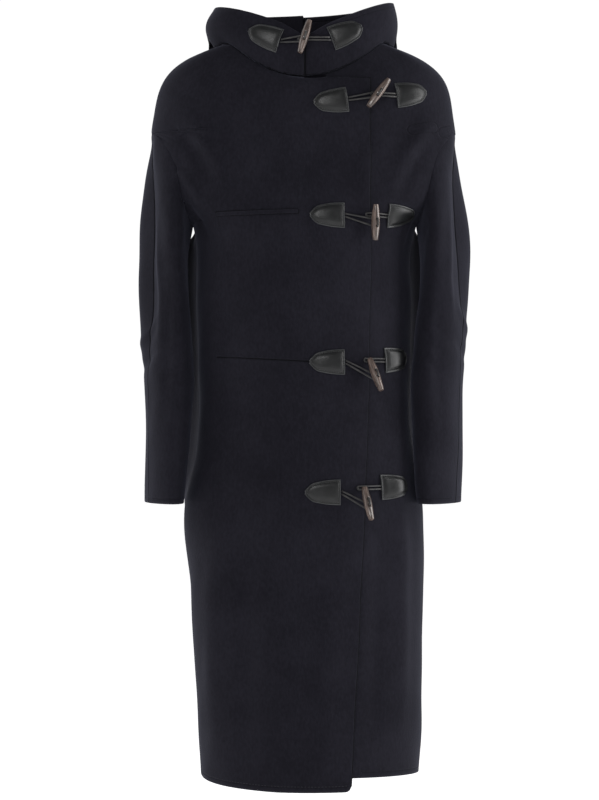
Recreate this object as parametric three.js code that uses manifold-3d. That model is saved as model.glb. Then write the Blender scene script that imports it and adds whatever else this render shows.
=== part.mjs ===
// A long wool duffle coat in the hollow form that it has when it is worn, millimetres, +Z up.
// The origin is at shoulder level in the middle of the neck. The front faces -Y.
// Right and left are the wearer's, so the right front lies at -X and laps over the left one.
import * as THREE from "three";
import Module from "manifold-3d";
import { mergeVertices } from "three/addons/utils/BufferGeometryUtils.js";

// Driving sizes of the cloth.
const CLOTH = 3;
const SEAM = 0.3;
const ARMHOLE_GAP = 0.6;
const LAP = 4.4;
const LAP_FROM_X = -100;
const LAP_FULL_X = -20;
const LAP_FROM_LEVEL = 0.05;
const LAP_FULL_LEVEL = 0.2;
const SIDE_SEAM_SHARE = 0.8;
const DROP_SHOULDER_END = 126;
const DROP_UNDERARM = 275;
const DROP_CUFF = 714;

// Driving sizes of the neck and of the fronts.
const NECK_HALF_WIDTH = 140;
const NECK_DEPTH = 100;
const NECK_SIDE_Z = 8;
const NECK_BACK_RISE = 6;
const NECK_SCOOP = 58;
const NECK_SCOOP_HALF_WIDTH = 118;
const OVER_EDGE_X = 103;
const OVER_EDGE_X_AT_HEM = 72;
const OVER_EDGE_LEAN = 1.6;
const OVER_TOP_Z = -52;
const UNDER_EDGE_X = 32;
const BODY_CENTRE_Y = 5;
const YOKE_END_SLOPE = 0.18;
const YOKE_TURN = 5.1;
const SQUARENESS = 2.3;

// Grid of each cloth wall: rows from the neck to the hem, and columns across.
const YOKE_ROWS = 7;
const YOKE_ROW_SPREAD = 1.5;
const ARMHOLE_ROWS = 8;
const SKIRT_ROWS = 15;
const SKIRT_ROW_SPREAD = 1.3;
const FRONT_COLUMNS = 14;
const UNDER_COLUMNS = 14;
const BACK_COLUMNS = 20;
const SLEEVE_ROWS = 16;
const HOOD_COLUMNS = 19;
const HOOD_ROWS = 16;

// The body at each drop below the shoulders: half width, depth ahead and behind, shift to the left side.
const BODY = [
  { drop: 126, wide: 243, ahead: 118, behind: 110, shift: 0 },
  { drop: 150, wide: 247, ahead: 120, behind: 111, shift: 0 },
  { drop: 180, wide: 249, ahead: 123.5, behind: 113, shift: 0 },
  { drop: 210, wide: 243, ahead: 128, behind: 116, shift: 0 },
  { drop: 240, wide: 225, ahead: 133, behind: 118, shift: 0 },
  { drop: 275, wide: 178, ahead: 138, behind: 118, shift: 0 },
  { drop: 400, wide: 172, ahead: 138, behind: 112, shift: 0 },
  { drop: 560, wide: 169, ahead: 143, behind: 122, shift: 0 },
  { drop: 640, wide: 175, ahead: 148, behind: 132, shift: 0 },
  { drop: 690, wide: 187, ahead: 150, behind: 138, shift: 0 },
  { drop: 735, wide: 192.2, ahead: 150, behind: 140, shift: 0 },
  { drop: 810, wide: 188.6, ahead: 150, behind: 145, shift: 3 },
  { drop: 909, wide: 183.6, ahead: 150, behind: 150, shift: 5.8 },
  { drop: 1022, wide: 179.3, ahead: 150, behind: 150, shift: 7.9 },
  { drop: 1104, wide: 176.5, ahead: 149, behind: 150, shift: 9.4 },
  { drop: 1160, wide: 173, ahead: 148, behind: 150, shift: 9.5 },
];

// How far the back stands out sideways in a drape behind each sleeve.
const DRAPE = [
  { drop: 275, right: 0, left: 0 },
  { drop: 300, right: 37, left: 36 },
  { drop: 330, right: 43, left: 41 },
  { drop: 420, right: 38, left: 34 },
  { drop: 560, right: 34, left: 28 },
  { drop: 650, right: 34, left: 26 },
  { drop: 720, right: 18, left: 14 },
  { drop: 790, right: 0, left: 0 },
];
const DRAPE_TURN = THREE.MathUtils.degToRad(30);
const DRAPE_REACH = THREE.MathUtils.degToRad(44);

// Half width of the front and of the back at the armhole seam.
const ARMHOLE = [
  { drop: 126, half: 243 },
  { drop: 150, half: 219 },
  { drop: 180, half: 203 },
  { drop: 210, half: 196 },
  { drop: 240, half: 190 },
  { drop: 260, half: 184 },
  { drop: 275, half: 178 },
];

// The sleeves at each drop: the inner and outer sides as seen from the front, how far the back
// piece bulges past them, how far the front leans in, and the centre and half depth along Y.
const RIGHT_SLEEVE = [
  { drop: 126, inner: 190, outer: 244, bulge: 2, lean: 12, centre: -15, deep: 75 },
  { drop: 155, inner: 190, outer: 244, bulge: 11, lean: 12, centre: -15, deep: 75 },
  { drop: 200, inner: 190, outer: 244, bulge: 18, lean: 12, centre: -15, deep: 75 },
  { drop: 250, inner: 189, outer: 243, bulge: 21, lean: 12, centre: -16, deep: 75 },
  { drop: 310, inner: 187, outer: 243, bulge: 22, lean: 12, centre: -18, deep: 74 },
  { drop: 370, inner: 184, outer: 244, bulge: 22, lean: 12, centre: -20, deep: 73 },
  { drop: 430, inner: 180, outer: 247, bulge: 17, lean: 12, centre: -23, deep: 72 },
  { drop: 480, inner: 175, outer: 251, bulge: 10, lean: 12, centre: -26, deep: 71 },
  { drop: 530, inner: 174, outer: 252, bulge: 2, lean: 13, centre: -30, deep: 69 },
  { drop: 600, inner: 179, outer: 253, bulge: 0, lean: 14, centre: -35, deep: 66 },
  { drop: 660, inner: 184, outer: 253, bulge: 0, lean: 16, centre: -40, deep: 63 },
  { drop: 714, inner: 187, outer: 252.5, bulge: 0, lean: 17, centre: -45, deep: 60 },
];
const LEFT_SLEEVE = [
  { drop: 126, inner: 188, outer: 243, bulge: 2, lean: 12, centre: -15, deep: 75 },
  { drop: 155, inner: 189, outer: 242, bulge: 12, lean: 12, centre: -15, deep: 75 },
  { drop: 206, inner: 190, outer: 241, bulge: 18, lean: 12, centre: -15, deep: 75 },
  { drop: 270, inner: 190, outer: 243, bulge: 22, lean: 12, centre: -17, deep: 75 },
  { drop: 340, inner: 187, outer: 249, bulge: 17, lean: 12, centre: -19, deep: 74 },
  { drop: 398, inner: 181, outer: 253, bulge: 10, lean: 12, centre: -22, deep: 73 },
  { drop: 440, inner: 175, outer: 255, bulge: 3, lean: 13, centre: -24, deep: 72 },
  { drop: 518, inner: 170, outer: 254, bulge: 0, lean: 14, centre: -29, deep: 69 },
  { drop: 575, inner: 170, outer: 253, bulge: 0, lean: 16, centre: -34, deep: 67 },
  { drop: 633, inner: 171, outer: 253, bulge: 0, lean: 18, centre: -38, deep: 65 },
  { drop: 685, inner: 175, outer: 252, bulge: 0, lean: 20, centre: -43, deep: 62 },
  { drop: 714, inner: 178, outer: 251, bulge: 0, lean: 20, centre: -45, deep: 60 },
];
const SLEEVE_SEAM_ANGLE = THREE.MathUtils.degToRad(165);
const SLEEVE_BULGE_ANGLE = THREE.MathUtils.degToRad(150);
const SLEEVE_BLEND = 150;
const SLEEVE_NORMAL_BLEND = 60;
const SLEEVE_SEAM_TURN = 0.006;
const SLEEVE_SEAM_WIDE_UNTIL = 0.15;
const SLEEVE_ROW_SPREAD = 1.15;
const SLEEVE_FIRST_DROP = 30;
const SLEEVE_HANG = 0.6;
const SLEEVE_BULGE_PEAK = 0.6;
const SLEEVE_BULGE_FADE = 1.5;
const SLEEVE_STEP_ROUND = 0.08;
const SLEEVE_STEP_DOWN = 0.02;
const ARMHOLE_STEP = 0.05;

// The hem's drop at the side seams and in the middle of each front.
const HEM_SIDE = 1146;
const HEM_OVER = 1154;
const HEM_UNDER = 1133;
const HEM_BACK = 1150;
const HEM_TURN = 0.8;

// Soft folds of the fronts: a line in front view, its height off the cloth and its half width.
const RIGHT_FOLDS = [
  { fromX: -222, fromZ: -70, toX: -118, toZ: -205, height: 4, half: 15 },
  { fromX: -128, fromZ: -300, toX: -150, toZ: -520, height: 4, half: 22 },
];
const LEFT_FOLDS = [
  { fromX: 205, fromZ: -105, toX: 148, toZ: -190, height: 4, half: 14 },
  { fromX: 148, fromZ: -415, toX: 150, toZ: -730, height: 8, half: 15 },
];
const FOLD_FADE = 0.8;

// The hood: its rim's height over the shoulders, and the fall of its pouch behind the neck.
const HOOD_RISE = 1.4;
const HOOD_THROAT_Z = 12;
const HOOD_RIGHT = { corner: 60, bend: 0.7, bulge: 14 };
const HOOD_LEFT = { corner: 68, bend: 0.83, bulge: 7 };
const HOOD_RIM_HALF_WIDTH = 144;
const HOOD_RIM_AHEAD = 97;
const HOOD_RIM_BEHIND = 148;
const HOOD_RIM_BACK_Z = 87;
const HOOD_RIM_TILT = 7;
const HOOD_RIM_SIDE = 0.8;
const HOOD_POUCH_FROM = THREE.MathUtils.degToRad(86);
const HOOD_POUCH_FULL = THREE.MathUtils.degToRad(125);
const HOOD_EDGE_X = 1;
const HOOD_UNDER_SET_BACK = 2.2;
const HOOD_UNDER_HALF_WIDTH = 25;

// The pouch's way from the neck seam down the back and up again: the share of its reach down the
// body's levels, and its height over the cloth there.
const POUCH = [
  { reach: 0.03, over: 14 },
  { reach: 0.28, over: 9 },
  { reach: 0.62, over: 6 },
  { reach: 0.93, over: 7 },
  { reach: 1, over: 26 },
  { reach: 0.9, over: 50 },
  { reach: 0.5, over: 62 },
  { reach: 0.12, over: 64 },
];
const POUCH_LEVELS_SIDE = 0.5;
const POUCH_LEVELS_BACK = 1.62;
const POUCH_NARROWING = 0.6;
const POUCH_SIDE_LIFT = 14;
const POUCH_SIDE_FROM = 0.3;
const POUCH_SIDE_FULL = 0.8;
const POUCH_NECK_SHARE = 0.1;
const POUCH_FREE_HALF_WIDTH = 118;
const POUCH_SOFT_WIDTH = 46;
const POUCH_DRAWN_IN_LIFT = 0.6;

// Fastenings in front view: the base of the leather tab on each side, its turn in degrees, and
// the toggle's centre, turn, lean out of the cloth and height over it.
const FASTENINGS = [
  {
    rightX: -38, rightZ: 5.6, rightTurn: 1, leftX: 42, leftZ: 9.5, leftTurn: -1,
    toggleX: 0, toggleZ: 9, toggleTurn: -14, toggleLean: 4, height: 16,
  },
  {
    rightX: 68, rightZ: -86.4, rightTurn: 2, leftX: 143.6, leftZ: -78, leftTurn: -3,
    toggleX: 112.5, toggleZ: -79, toggleTurn: 46, toggleLean: 0, height: 15,
  },
  {
    rightX: 62.3, rightZ: -267.6, rightTurn: 0, leftX: 130.2, leftZ: -265.6, leftTurn: 2,
    toggleX: 104.7, toggleZ: -277.6, toggleTurn: -1, toggleLean: 0, height: 15,
  },
  {
    rightX: 61.5, rightZ: -493.6, rightTurn: 0, leftX: 125.3, leftZ: -490.5, leftTurn: 5,
    toggleX: 100.9, toggleZ: -513, toggleTurn: -8, toggleLean: 24, height: 19,
  },
  {
    rightX: 55.3, rightZ: -693.4, rightTurn: 0, leftX: 118.4, leftZ: -687, leftTurn: 3,
    toggleX: 90, toggleZ: -710, toggleTurn: -2, toggleLean: 28, height: 21,
  },
];
const TAB_LENGTH = 53;
const TAB_HALF_WIDTH = 19.5;
const TAB_TIP_HALF_WIDTH = 3;
const TAB_POINT = 2.2;
const OVER_CLOTH = 0.5;
const TAB_EDGE = 1.4;
const TAB_CROWN = 4.6;
const TAB_BASE_CROWN = 0.55;
const TAB_TIP_CROWN_TURN = 3;
const TAB_COLUMNS = 6;
const TAB_ROWS = 4;
const TOGGLE_LENGTH = 55;
const TOGGLE_END_RADIUS = 4;
const TOGGLE_MID_RADIUS = 6.6;
const TOGGLE_TAPER = 1.8;
const TOGGLE_SIDES = 10;
const TOGGLE_RINGS = 6;
const HOLE_RADIUS = 2.1;
const HOLE_SPREAD = 5.5;
const HOLE_SIDES = 8;
const CORD_RADIUS = 1.4;
const CORD_SIDES = 8;
const CORD_OFF_TAB = 1.2;
const CORD_SPREAD = 4.5;
const CORD_HEIGHT = 2.2;
const CORD_START_HEIGHT = 2.6;
const CORD_BEND = 3.2;
const LOOP_SPREAD = 2.4;
const LOOP_PAST_TOGGLE = 9;
const LOOP_OFF_TAB = 4;
const CORNER_SHARE = 0.45;
const CORNER_POINTS = 3;

// The chest welt on the right front.
const WELT_FROM_X = -136;
const WELT_LENGTH = 133;
const WELT_HALF_HEIGHT = 4;
const WELT_Z = -263;
const WELT_THICK = 1.2;
const WELT_COLUMNS = 8;

// Search for a place on a surface, and the steps in which a line goes over it.
const SEARCH_PASSES = 20;
const SEARCH_STEP = 0.2;
const WALK_STEP = 5;
const FIRST_ANGLE = 0.3;
const HOOD_FIRST_WAY = 0.6;

const wool = new THREE.MeshStandardMaterial({ color: 0x20202a, roughness: 0.9, metalness: 0 });
const leather = new THREE.MeshStandardMaterial({ color: 0x323538, roughness: 0.4, metalness: 0 });
const horn = new THREE.MeshStandardMaterial({ color: 0x5a413a, roughness: 0.3, metalness: 0 });

const { degToRad, lerp, clamp, smoothstep } = THREE.MathUtils;
const SIDE = Math.PI / 2;
const STEP = 1e-3;

const wasm = await Module();
wasm.setup();

const coat = new THREE.Group();

function addPiece(name, geometry, material) {
  const mesh = new THREE.Mesh(geometry, material);
  mesh.name = name;
  coat.add(mesh);
  return mesh;
}

// The value of a table's column, on a smooth curve through its rows.
function valueAt(table, key, column, at) {
  const last = table.length - 1;
  if (at <= table[0][key]) return table[0][column];
  if (at >= table[last][key]) return table[last][column];
  let i = 0;
  while (table[i + 1][key] < at) i += 1;
  const rise = (from, to) => table[to][column] - table[from][column];
  const slope = (from, to) => rise(from, to) / (table[to][key] - table[from][key]);
  const span = table[i + 1][key] - table[i][key];
  const t = (at - table[i][key]) / span;
  const startSlope = slope(Math.max(i - 1, 0), i + 1) * span;
  const endSlope = slope(i, Math.min(i + 2, last)) * span;
  const start = table[i][column];
  const end = table[i + 1][column];
  const a = 2 * start - 2 * end + startSlope + endSlope;
  const b = 3 * end - 3 * start - 2 * startSlope - endSlope;
  return ((a * t + b) * t + startSlope) * t + start;
}

// The sine or cosine of a squarish oval.
function rounded(value) {
  return Math.sign(value) * Math.abs(value) ** (2 / SQUARENESS);
}

// The angle at which a squarish oval of this half width has this x.
function angleAt(x, half) {
  const share = clamp(x / half, -1, 1);
  return Math.asin(Math.sign(share) * Math.abs(share) ** (SQUARENESS / 2));
}

function neckPoint(angle) {
  const x = NECK_HALF_WIDTH * rounded(Math.sin(angle));
  const forward = rounded(Math.cos(angle));
  const scoop = NECK_SCOOP * Math.max(0, 1 - (x / NECK_SCOOP_HALF_WIDTH) ** 2);
  const z = forward > 0 ? NECK_SIDE_Z - scoop : NECK_SIDE_Z - NECK_BACK_RISE * forward;
  return new THREE.Vector3(x, -NECK_DEPTH * forward, z);
}

function ringPoint(angle, drop) {
  const forward = rounded(Math.cos(angle));
  const depth = valueAt(BODY, "drop", forward > 0 ? "ahead" : "behind", drop);
  const wide = valueAt(BODY, "drop", "wide", drop);
  const x = valueAt(BODY, "drop", "shift", drop) + wide * rounded(Math.sin(angle));
  return new THREE.Vector3(x, BODY_CENTRE_Y - depth * forward, -drop);
}

// Share of the way down and of the way out on the yoke. It runs out fast at the neck and ends
// almost upright.
const yokeFall = (level) => Math.max(0, level) ** YOKE_ROW_SPREAD;
const levelOfFall = (fall) => fall ** (1 / YOKE_ROW_SPREAD);

function yokeRun(level) {
  const fall = yokeFall(level);
  return YOKE_END_SLOPE * fall + (1 - YOKE_END_SLOPE) * (1 - Math.max(0, 1 - fall) ** YOKE_TURN);
}

// Levels 0 to 1 are the yoke, 1 to 2 the armhole and 2 to 3 the skirt down to the hem. The drop is
// the distance below the shoulders.
function dropAt(level, hem) {
  if (level > 2) return lerp(DROP_UNDERARM, hem, level - 2);
  return lerp(DROP_SHOULDER_END, DROP_UNDERARM, level - 1);
}

// The level at a drop. On the yoke, where levels aren't even, it is a first guess.
function levelAt(drop, hem) {
  if (drop > DROP_UNDERARM) return 2 + (drop - DROP_UNDERARM) / (hem - DROP_UNDERARM);
  return 1 + (drop - DROP_SHOULDER_END) / (DROP_UNDERARM - DROP_SHOULDER_END);
}

function bodyPoint(angle, level, hem) {
  if (level >= 1) return ringPoint(angle, dropAt(level, hem));
  const neck = neckPoint(angle);
  const end = ringPoint(angle, DROP_SHOULDER_END);
  const run = yokeRun(level);
  return new THREE.Vector3(
    lerp(neck.x, end.x, run),
    lerp(neck.y, end.y, run),
    lerp(neck.z, end.z, yokeFall(level)),
  );
}

// The normal of a surface of two values, by small steps in both.
function normalOf(surface, a, b, turn = 1) {
  const alongA = surface(a + STEP, b).sub(surface(a - STEP, b));
  const alongB = surface(a, b + STEP).sub(surface(a, b - STEP));
  return alongA.cross(alongB).normalize().multiplyScalar(turn);
}

function bodyNormal(angle, level, hem) {
  const inside = clamp(level, 2 * STEP, 3);
  return normalOf((a, b) => bodyPoint(a, b, hem), angle, inside, -1);
}

// Half width of the body at a level, and of its cloth where the armhole cuts in.
function halfWidthAt(level, hem) {
  if (level >= 1) return valueAt(BODY, "drop", "wide", dropAt(level, hem));
  return lerp(NECK_HALF_WIDTH, BODY[0].wide, yokeRun(level));
}

function sideAngle(level) {
  const seamAngle = ((SIDE_SEAM_SHARE * SEAM) / NECK_DEPTH) ** (SQUARENESS / 2);
  if (level <= 1 || level >= 2) return SIDE - seamAngle;
  const drop = dropAt(level, 0);
  return Math.min(
    SIDE - seamAngle,
    angleAt(valueAt(ARMHOLE, "drop", "half", drop), valueAt(BODY, "drop", "wide", drop)),
  );
}

function angleAtX(x, level, hem) {
  const shift = level >= 1 ? valueAt(BODY, "drop", "shift", dropAt(level, hem)) : 0;
  return angleAt(x - shift, halfWidthAt(level, hem));
}

function foldHeight(folds, x, z) {
  let height = 0;
  for (const fold of folds) {
    const alongX = fold.toX - fold.fromX;
    const alongZ = fold.toZ - fold.fromZ;
    const length = Math.hypot(alongX, alongZ);
    const share = ((x - fold.fromX) * alongX + (z - fold.fromZ) * alongZ) / length ** 2;
    if (share <= 0 || share >= 1) continue;
    const away = ((x - fold.fromX) * alongZ - (z - fold.fromZ) * alongX) / length;
    const fade = Math.sin(Math.PI * share) ** FOLD_FADE;
    height += fold.height * fade * Math.exp(-((away / fold.half) ** 2));
  }
  return height;
}

const hemOver = (angle) => lerp(HEM_SIDE, HEM_OVER, Math.max(0, Math.cos(angle)) ** HEM_TURN);
const hemUnder = (angle) => lerp(HEM_SIDE, HEM_UNDER, Math.max(0, Math.cos(angle)) ** HEM_TURN);
const hemBack = (angle) => lerp(HEM_SIDE, HEM_BACK, Math.max(0, -Math.cos(angle)));

// The outer faces of the three body panels.
function overFront(angle, level) {
  const hem = hemOver(angle);
  const point = bodyPoint(angle, level, hem);
  const ahead = smoothstep(point.x, LAP_FROM_X, LAP_FULL_X);
  const lap = LAP * ahead * smoothstep(level, LAP_FROM_LEVEL, LAP_FULL_LEVEL);
  const lift = lap + foldHeight(RIGHT_FOLDS, point.x, point.z);
  return point.addScaledVector(bodyNormal(angle, level, hem), lift);
}

function underFront(angle, level) {
  const hem = hemUnder(angle);
  const point = bodyPoint(angle, level, hem);
  const lift = foldHeight(LEFT_FOLDS, point.x, point.z);
  return point.addScaledVector(bodyNormal(angle, level, hem), lift);
}

// The back's angles run on past half a turn, where its right side begins.
function backPanel(angle, level) {
  const point = bodyPoint(angle, level, hemBack(angle));
  const fromSeam = angle < Math.PI ? angle - SIDE : 3 * SIDE - angle;
  const seamward = smoothstep(fromSeam, 0, DRAPE_TURN);
  const share = seamward * (1 - smoothstep(fromSeam, DRAPE_TURN, DRAPE_TURN + DRAPE_REACH));
  const out = valueAt(DRAPE, "drop", point.x < 0 ? "right" : "left", -point.z);
  point.x += Math.sign(point.x) * out * share;
  return point;
}

// A closed wall of cloth between a grid of outer points and the same points moved in.
function wall(columns, rows, place) {
  const outer = [];
  const inner = [];
  for (let row = 0; row <= rows; row += 1) {
    for (let column = 0; column <= columns; column += 1) {
      const { point, normal } = place(column / columns, row / rows, column, row);
      outer.push(point);
      inner.push(point.clone().addScaledVector(normal, -CLOTH));
    }
  }
  return slab(columns, rows, inner, outer);
}

// A closed body between two grids of points.
function slab(columns, rows, lower, upper) {
  const points = [...upper, ...lower];
  const under = upper.length;
  const at = (column, row) => row * (columns + 1) + column;
  const faces = [];
  const quad = (a, b, c, d) => faces.push(a, b, c, a, c, d);
  const edge = (a, b) => quad(a, b, under + b, under + a);
  for (let row = 0; row < rows; row += 1) {
    for (let column = 0; column < columns; column += 1) {
      const a = at(column, row);
      const b = at(column + 1, row);
      const c = at(column + 1, row + 1);
      const d = at(column, row + 1);
      quad(a, b, c, d);
      quad(under + d, under + c, under + b, under + a);
    }
  }
  for (let column = 0; column < columns; column += 1) {
    edge(at(column + 1, 0), at(column, 0));
    edge(at(column, rows), at(column + 1, rows));
  }
  for (let row = 0; row < rows; row += 1) {
    const a = at(columns, row);
    const b = at(columns, row + 1);
    edge(at(0, row), at(0, row + 1));
    quad(a, under + a, under + b, b);
  }
  return closed(points, faces);
}

// A geometry from points and faces, turned so that its faces point out.
function closed(points, faces) {
  let volume = 0;
  for (let i = 0; i < faces.length; i += 3) {
    const [a, b, c] = [points[faces[i]], points[faces[i + 1]], points[faces[i + 2]]];
    volume += a.dot(new THREE.Vector3().crossVectors(b, c));
  }
  if (volume < 0) faces.reverse();
  const geometry = new THREE.BufferGeometry();
  const values = points.flatMap((point) => point.toArray());
  geometry.setAttribute("position", new THREE.Float32BufferAttribute(values, 3));
  geometry.setIndex(faces);
  geometry.computeVertexNormals();
  return geometry;
}

const BODY_ROWS = YOKE_ROWS + ARMHOLE_ROWS + SKIRT_ROWS;

// The body's level at a turn round the armhole, from 0 under the arm to half a turn on the shoulder.
const armholeLevel = (turn) => 1 + (1 + Math.cos(turn)) / 2;

// The level of a row, where the topmost level may lie below the neck seam.
function levelOfRow(row, top) {
  if (row <= YOKE_ROWS) return lerp(top, 1, row / YOKE_ROWS);
  const down = (row - YOKE_ROWS) / ARMHOLE_ROWS;
  if (down <= 1) return armholeLevel(Math.PI * (1 - down));
  return 2 + ((row - YOKE_ROWS - ARMHOLE_ROWS) / SKIRT_ROWS) ** SKIRT_ROW_SPREAD;
}

// The normal of a panel's own outer face.
function panelNormal(surface, angle, level) {
  return normalOf(surface, angle, clamp(level, 2 * STEP, 3), -1);
}

function bodyPanel(surface, columns, fromAngle, toAngle, topLevel, seams) {
  const rows = BODY_ROWS;
  return wall(columns, rows, (across, down, column, row) => {
    let level = levelOfRow(row, 0);
    let angle = lerp(fromAngle(level), toAngle(level), across);
    for (let pass = 0; pass < 4; pass += 1) {
      level = levelOfRow(row, topLevel(across));
      angle = lerp(fromAngle(level), toAngle(level), across);
    }
    const seam = across === 0 ? seams[0] : across === 1 ? seams[1] : null;
    const inArmhole = row >= YOKE_ROWS && row <= YOKE_ROWS + ARMHOLE_ROWS;
    const turn = Math.acos(clamp(2 * level - 3, -1, 1));
    const normal = seam && inArmhole ? seam(turn) : panelNormal(surface, angle, level);
    return { point: surface(angle, level), normal };
  });
}

// The front edge of the over front leans in towards the hem.
function overEdgeX(level) {
  return lerp(OVER_EDGE_X, OVER_EDGE_X_AT_HEM, clamp(level - 2, 0, 1) ** OVER_EDGE_LEAN);
}
const overEdgeAngle = (level) => angleAtX(overEdgeX(level), level, HEM_OVER);
const underEdgeAngle = (level) => angleAtX(UNDER_EDGE_X, level, HEM_UNDER);

// Past the middle of the neck the over front has a free top edge that runs level.
function overTopLevel(across) {
  let level = 0;
  for (let pass = 0; pass < 6; pass += 1) {
    const angle = lerp(-sideAngle(level), overEdgeAngle(level), across);
    const neck = neckPoint(angle);
    if (neck.x <= 0) return 0;
    const fall = clamp((neck.z - OVER_TOP_Z) / (neck.z + DROP_SHOULDER_END), 0, 1);
    level = levelOfFall(fall);
  }
  return level;
}

// A point of the armhole seam on the body. The turn is 0 under the arm and half a turn on the
// shoulder, and its first half lies on the front.
function armholePoint(side, anyTurn) {
  const turn = THREE.MathUtils.euclideanModulo(anyTurn, 2 * Math.PI);
  const folded = turn <= Math.PI ? turn : 2 * Math.PI - turn;
  const level = armholeLevel(folded);
  const flank = sideAngle(clamp(level, 1.0001, 1.9999));
  const front = turn <= Math.PI;
  const angle = side * (front ? flank : Math.PI - flank);
  return { point: bodyPoint(angle, level, HEM_SIDE), normal: bodyNormal(angle, level, HEM_SIDE) };
}

// The seam for a sleeve: set off from the body's edge, with the direction that both walls share.
function armholeSeam(table, side, anyTurn) {
  const turn = THREE.MathUtils.euclideanModulo(anyTurn, 2 * Math.PI);
  const { point, normal } = armholePoint(side, turn);
  const drop = -point.z + SLEEVE_FIRST_DROP;
  const next = (a) => sleeveSection(table, side, a, drop);
  const around = next(turn + 2 * ARMHOLE_STEP).sub(next(turn - 2 * ARMHOLE_STEP));
  const own = around.cross(next(turn).sub(point)).normalize().multiplyScalar(-side);
  const shared = normal.clone().add(own).normalize();
  const along = armholePoint(side, turn + ARMHOLE_STEP).point;
  along.sub(armholePoint(side, turn - ARMHOLE_STEP).point);
  const away = along.cross(shared).normalize();
  if (away.dot(new THREE.Vector3(side, 0, -SLEEVE_HANG)) < 0) away.negate();
  return { point: point.addScaledVector(away, ARMHOLE_GAP), normal: shared };
}

function sleeveSection(table, side, anyTurn, drop) {
  const turn = THREE.MathUtils.euclideanModulo(anyTurn, 2 * Math.PI);
  const column = (name) => valueAt(table, "drop", name, drop);
  const front = turn <= Math.PI;
  const angle = front
    ? (turn / Math.PI) * SLEEVE_SEAM_ANGLE
    : lerp(SLEEVE_SEAM_ANGLE, 2 * Math.PI, turn / Math.PI - 1);
  const spread = (column("outer") - column("inner")) / 2;
  const half = Math.sqrt(spread ** 2 - column("lean") ** 2);
  const past = clamp((angle - SLEEVE_SEAM_ANGLE) / SLEEVE_BULGE_ANGLE, 0, 1);
  const bulge = column("bulge") * Math.sin(Math.PI * past ** SLEEVE_BULGE_PEAK) ** SLEEVE_BULGE_FADE;
  const middle = column("inner") + spread;
  const x = middle - half * Math.cos(angle) - column("lean") * Math.sin(angle) + bulge;
  const y = column("centre") - column("deep") * Math.sin(angle);
  return new THREE.Vector3(side * x, y, -drop);
}

function sleevePoint(table, side, turn, down) {
  const seam = armholeSeam(table, side, turn).point;
  const start = -seam.z;
  const drop = lerp(start, DROP_CUFF, down);
  const blend = clamp(1 - (drop - start) / SLEEVE_BLEND, 0, 1) ** 2;
  const away = seam.sub(sleeveSection(table, side, turn, start));
  return sleeveSection(table, side, turn, drop).addScaledVector(away, blend);
}

function sleevePiece(table, side, fromTurn, toTurn) {
  return wall(ARMHOLE_ROWS, SLEEVE_ROWS, (across, down) => {
    const wider = 1 + 2 * (1 - smoothstep(down, 0, SLEEVE_SEAM_WIDE_UNTIL));
    const set = lerp(SLEEVE_SEAM_TURN, -SLEEVE_SEAM_TURN, across) * wider;
    const turn = lerp(fromTurn, toTurn, across) % (2 * Math.PI);
    const along = down ** SLEEVE_ROW_SPREAD;
    const at = (a, b) => sleevePoint(table, side, a, clamp(b, 0, 1));
    const point = at(turn + set, along);
    const start = armholeSeam(table, side, turn);
    const around = at(turn + SLEEVE_STEP_ROUND, along).sub(at(turn - SLEEVE_STEP_ROUND, along));
    const below = at(turn, along + SLEEVE_STEP_DOWN).sub(at(turn, along - SLEEVE_STEP_DOWN));
    const own = around.cross(below).normalize().multiplyScalar(-side);
    const near = clamp(1 - Math.abs(point.z - start.point.z) / SLEEVE_NORMAL_BLEND, 0, 1);
    return { point, normal: own.lerp(start.normal, near).normalize() };
  });
}

// The shared direction along the front and the back of each armhole.
const rightArmholeFront = (turn) => armholeSeam(RIGHT_SLEEVE, -1, turn).normal;
const rightArmholeBack = (turn) => armholeSeam(RIGHT_SLEEVE, -1, -turn).normal;
const leftArmholeFront = (turn) => armholeSeam(LEFT_SLEEVE, 1, turn).normal;
const leftArmholeBack = (turn) => armholeSeam(LEFT_SLEEVE, 1, -turn).normal;

addPiece(
  "front_right",
  bodyPanel(overFront, FRONT_COLUMNS, (level) => -sideAngle(level), overEdgeAngle, overTopLevel, [
    rightArmholeFront,
    null,
  ]),
  wool,
);
addPiece(
  "front_left",
  bodyPanel(underFront, UNDER_COLUMNS, underEdgeAngle, sideAngle, () => 0, [
    null,
    leftArmholeFront,
  ]),
  wool,
);
addPiece(
  "back",
  bodyPanel(
    backPanel,
    BACK_COLUMNS,
    (level) => Math.PI - sideAngle(level),
    (level) => Math.PI + sideAngle(level),
    () => 0,
    [leftArmholeBack, rightArmholeBack],
  ),
  wool,
);

for (const [name, table, side] of [["right", RIGHT_SLEEVE, -1], ["left", LEFT_SLEEVE, 1]]) {
  addPiece("sleeve_" + name + "_front", sleevePiece(table, side, 0, Math.PI), wool);
  addPiece("sleeve_" + name + "_back", sleevePiece(table, side, Math.PI, 2 * Math.PI), wool);
}

// The rim of the hood, which is lowest at the throat and highest behind the neck.
function rimPoint(angle) {
  const x = HOOD_RIM_HALF_WIDTH * rounded(Math.sin(angle));
  const forward = rounded(Math.cos(angle));
  const half = x < 0 ? HOOD_RIGHT : HOOD_LEFT;
  const share = Math.abs(x) / HOOD_RIM_HALF_WIDTH;
  const front = HOOD_THROAT_Z + half.corner * share ** half.bend;
  const rear = HOOD_RIM_BACK_Z + HOOD_RIM_TILT * (x / HOOD_RIM_HALF_WIDTH);
  const corner = HOOD_THROAT_Z + half.corner;
  const z = forward > 0 ? front : lerp(corner, rear, smoothstep(-forward, 0, HOOD_RIM_SIDE));
  return new THREE.Vector3(x, -forward * (forward > 0 ? HOOD_RIM_AHEAD : HOOD_RIM_BEHIND), z);
}

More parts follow.
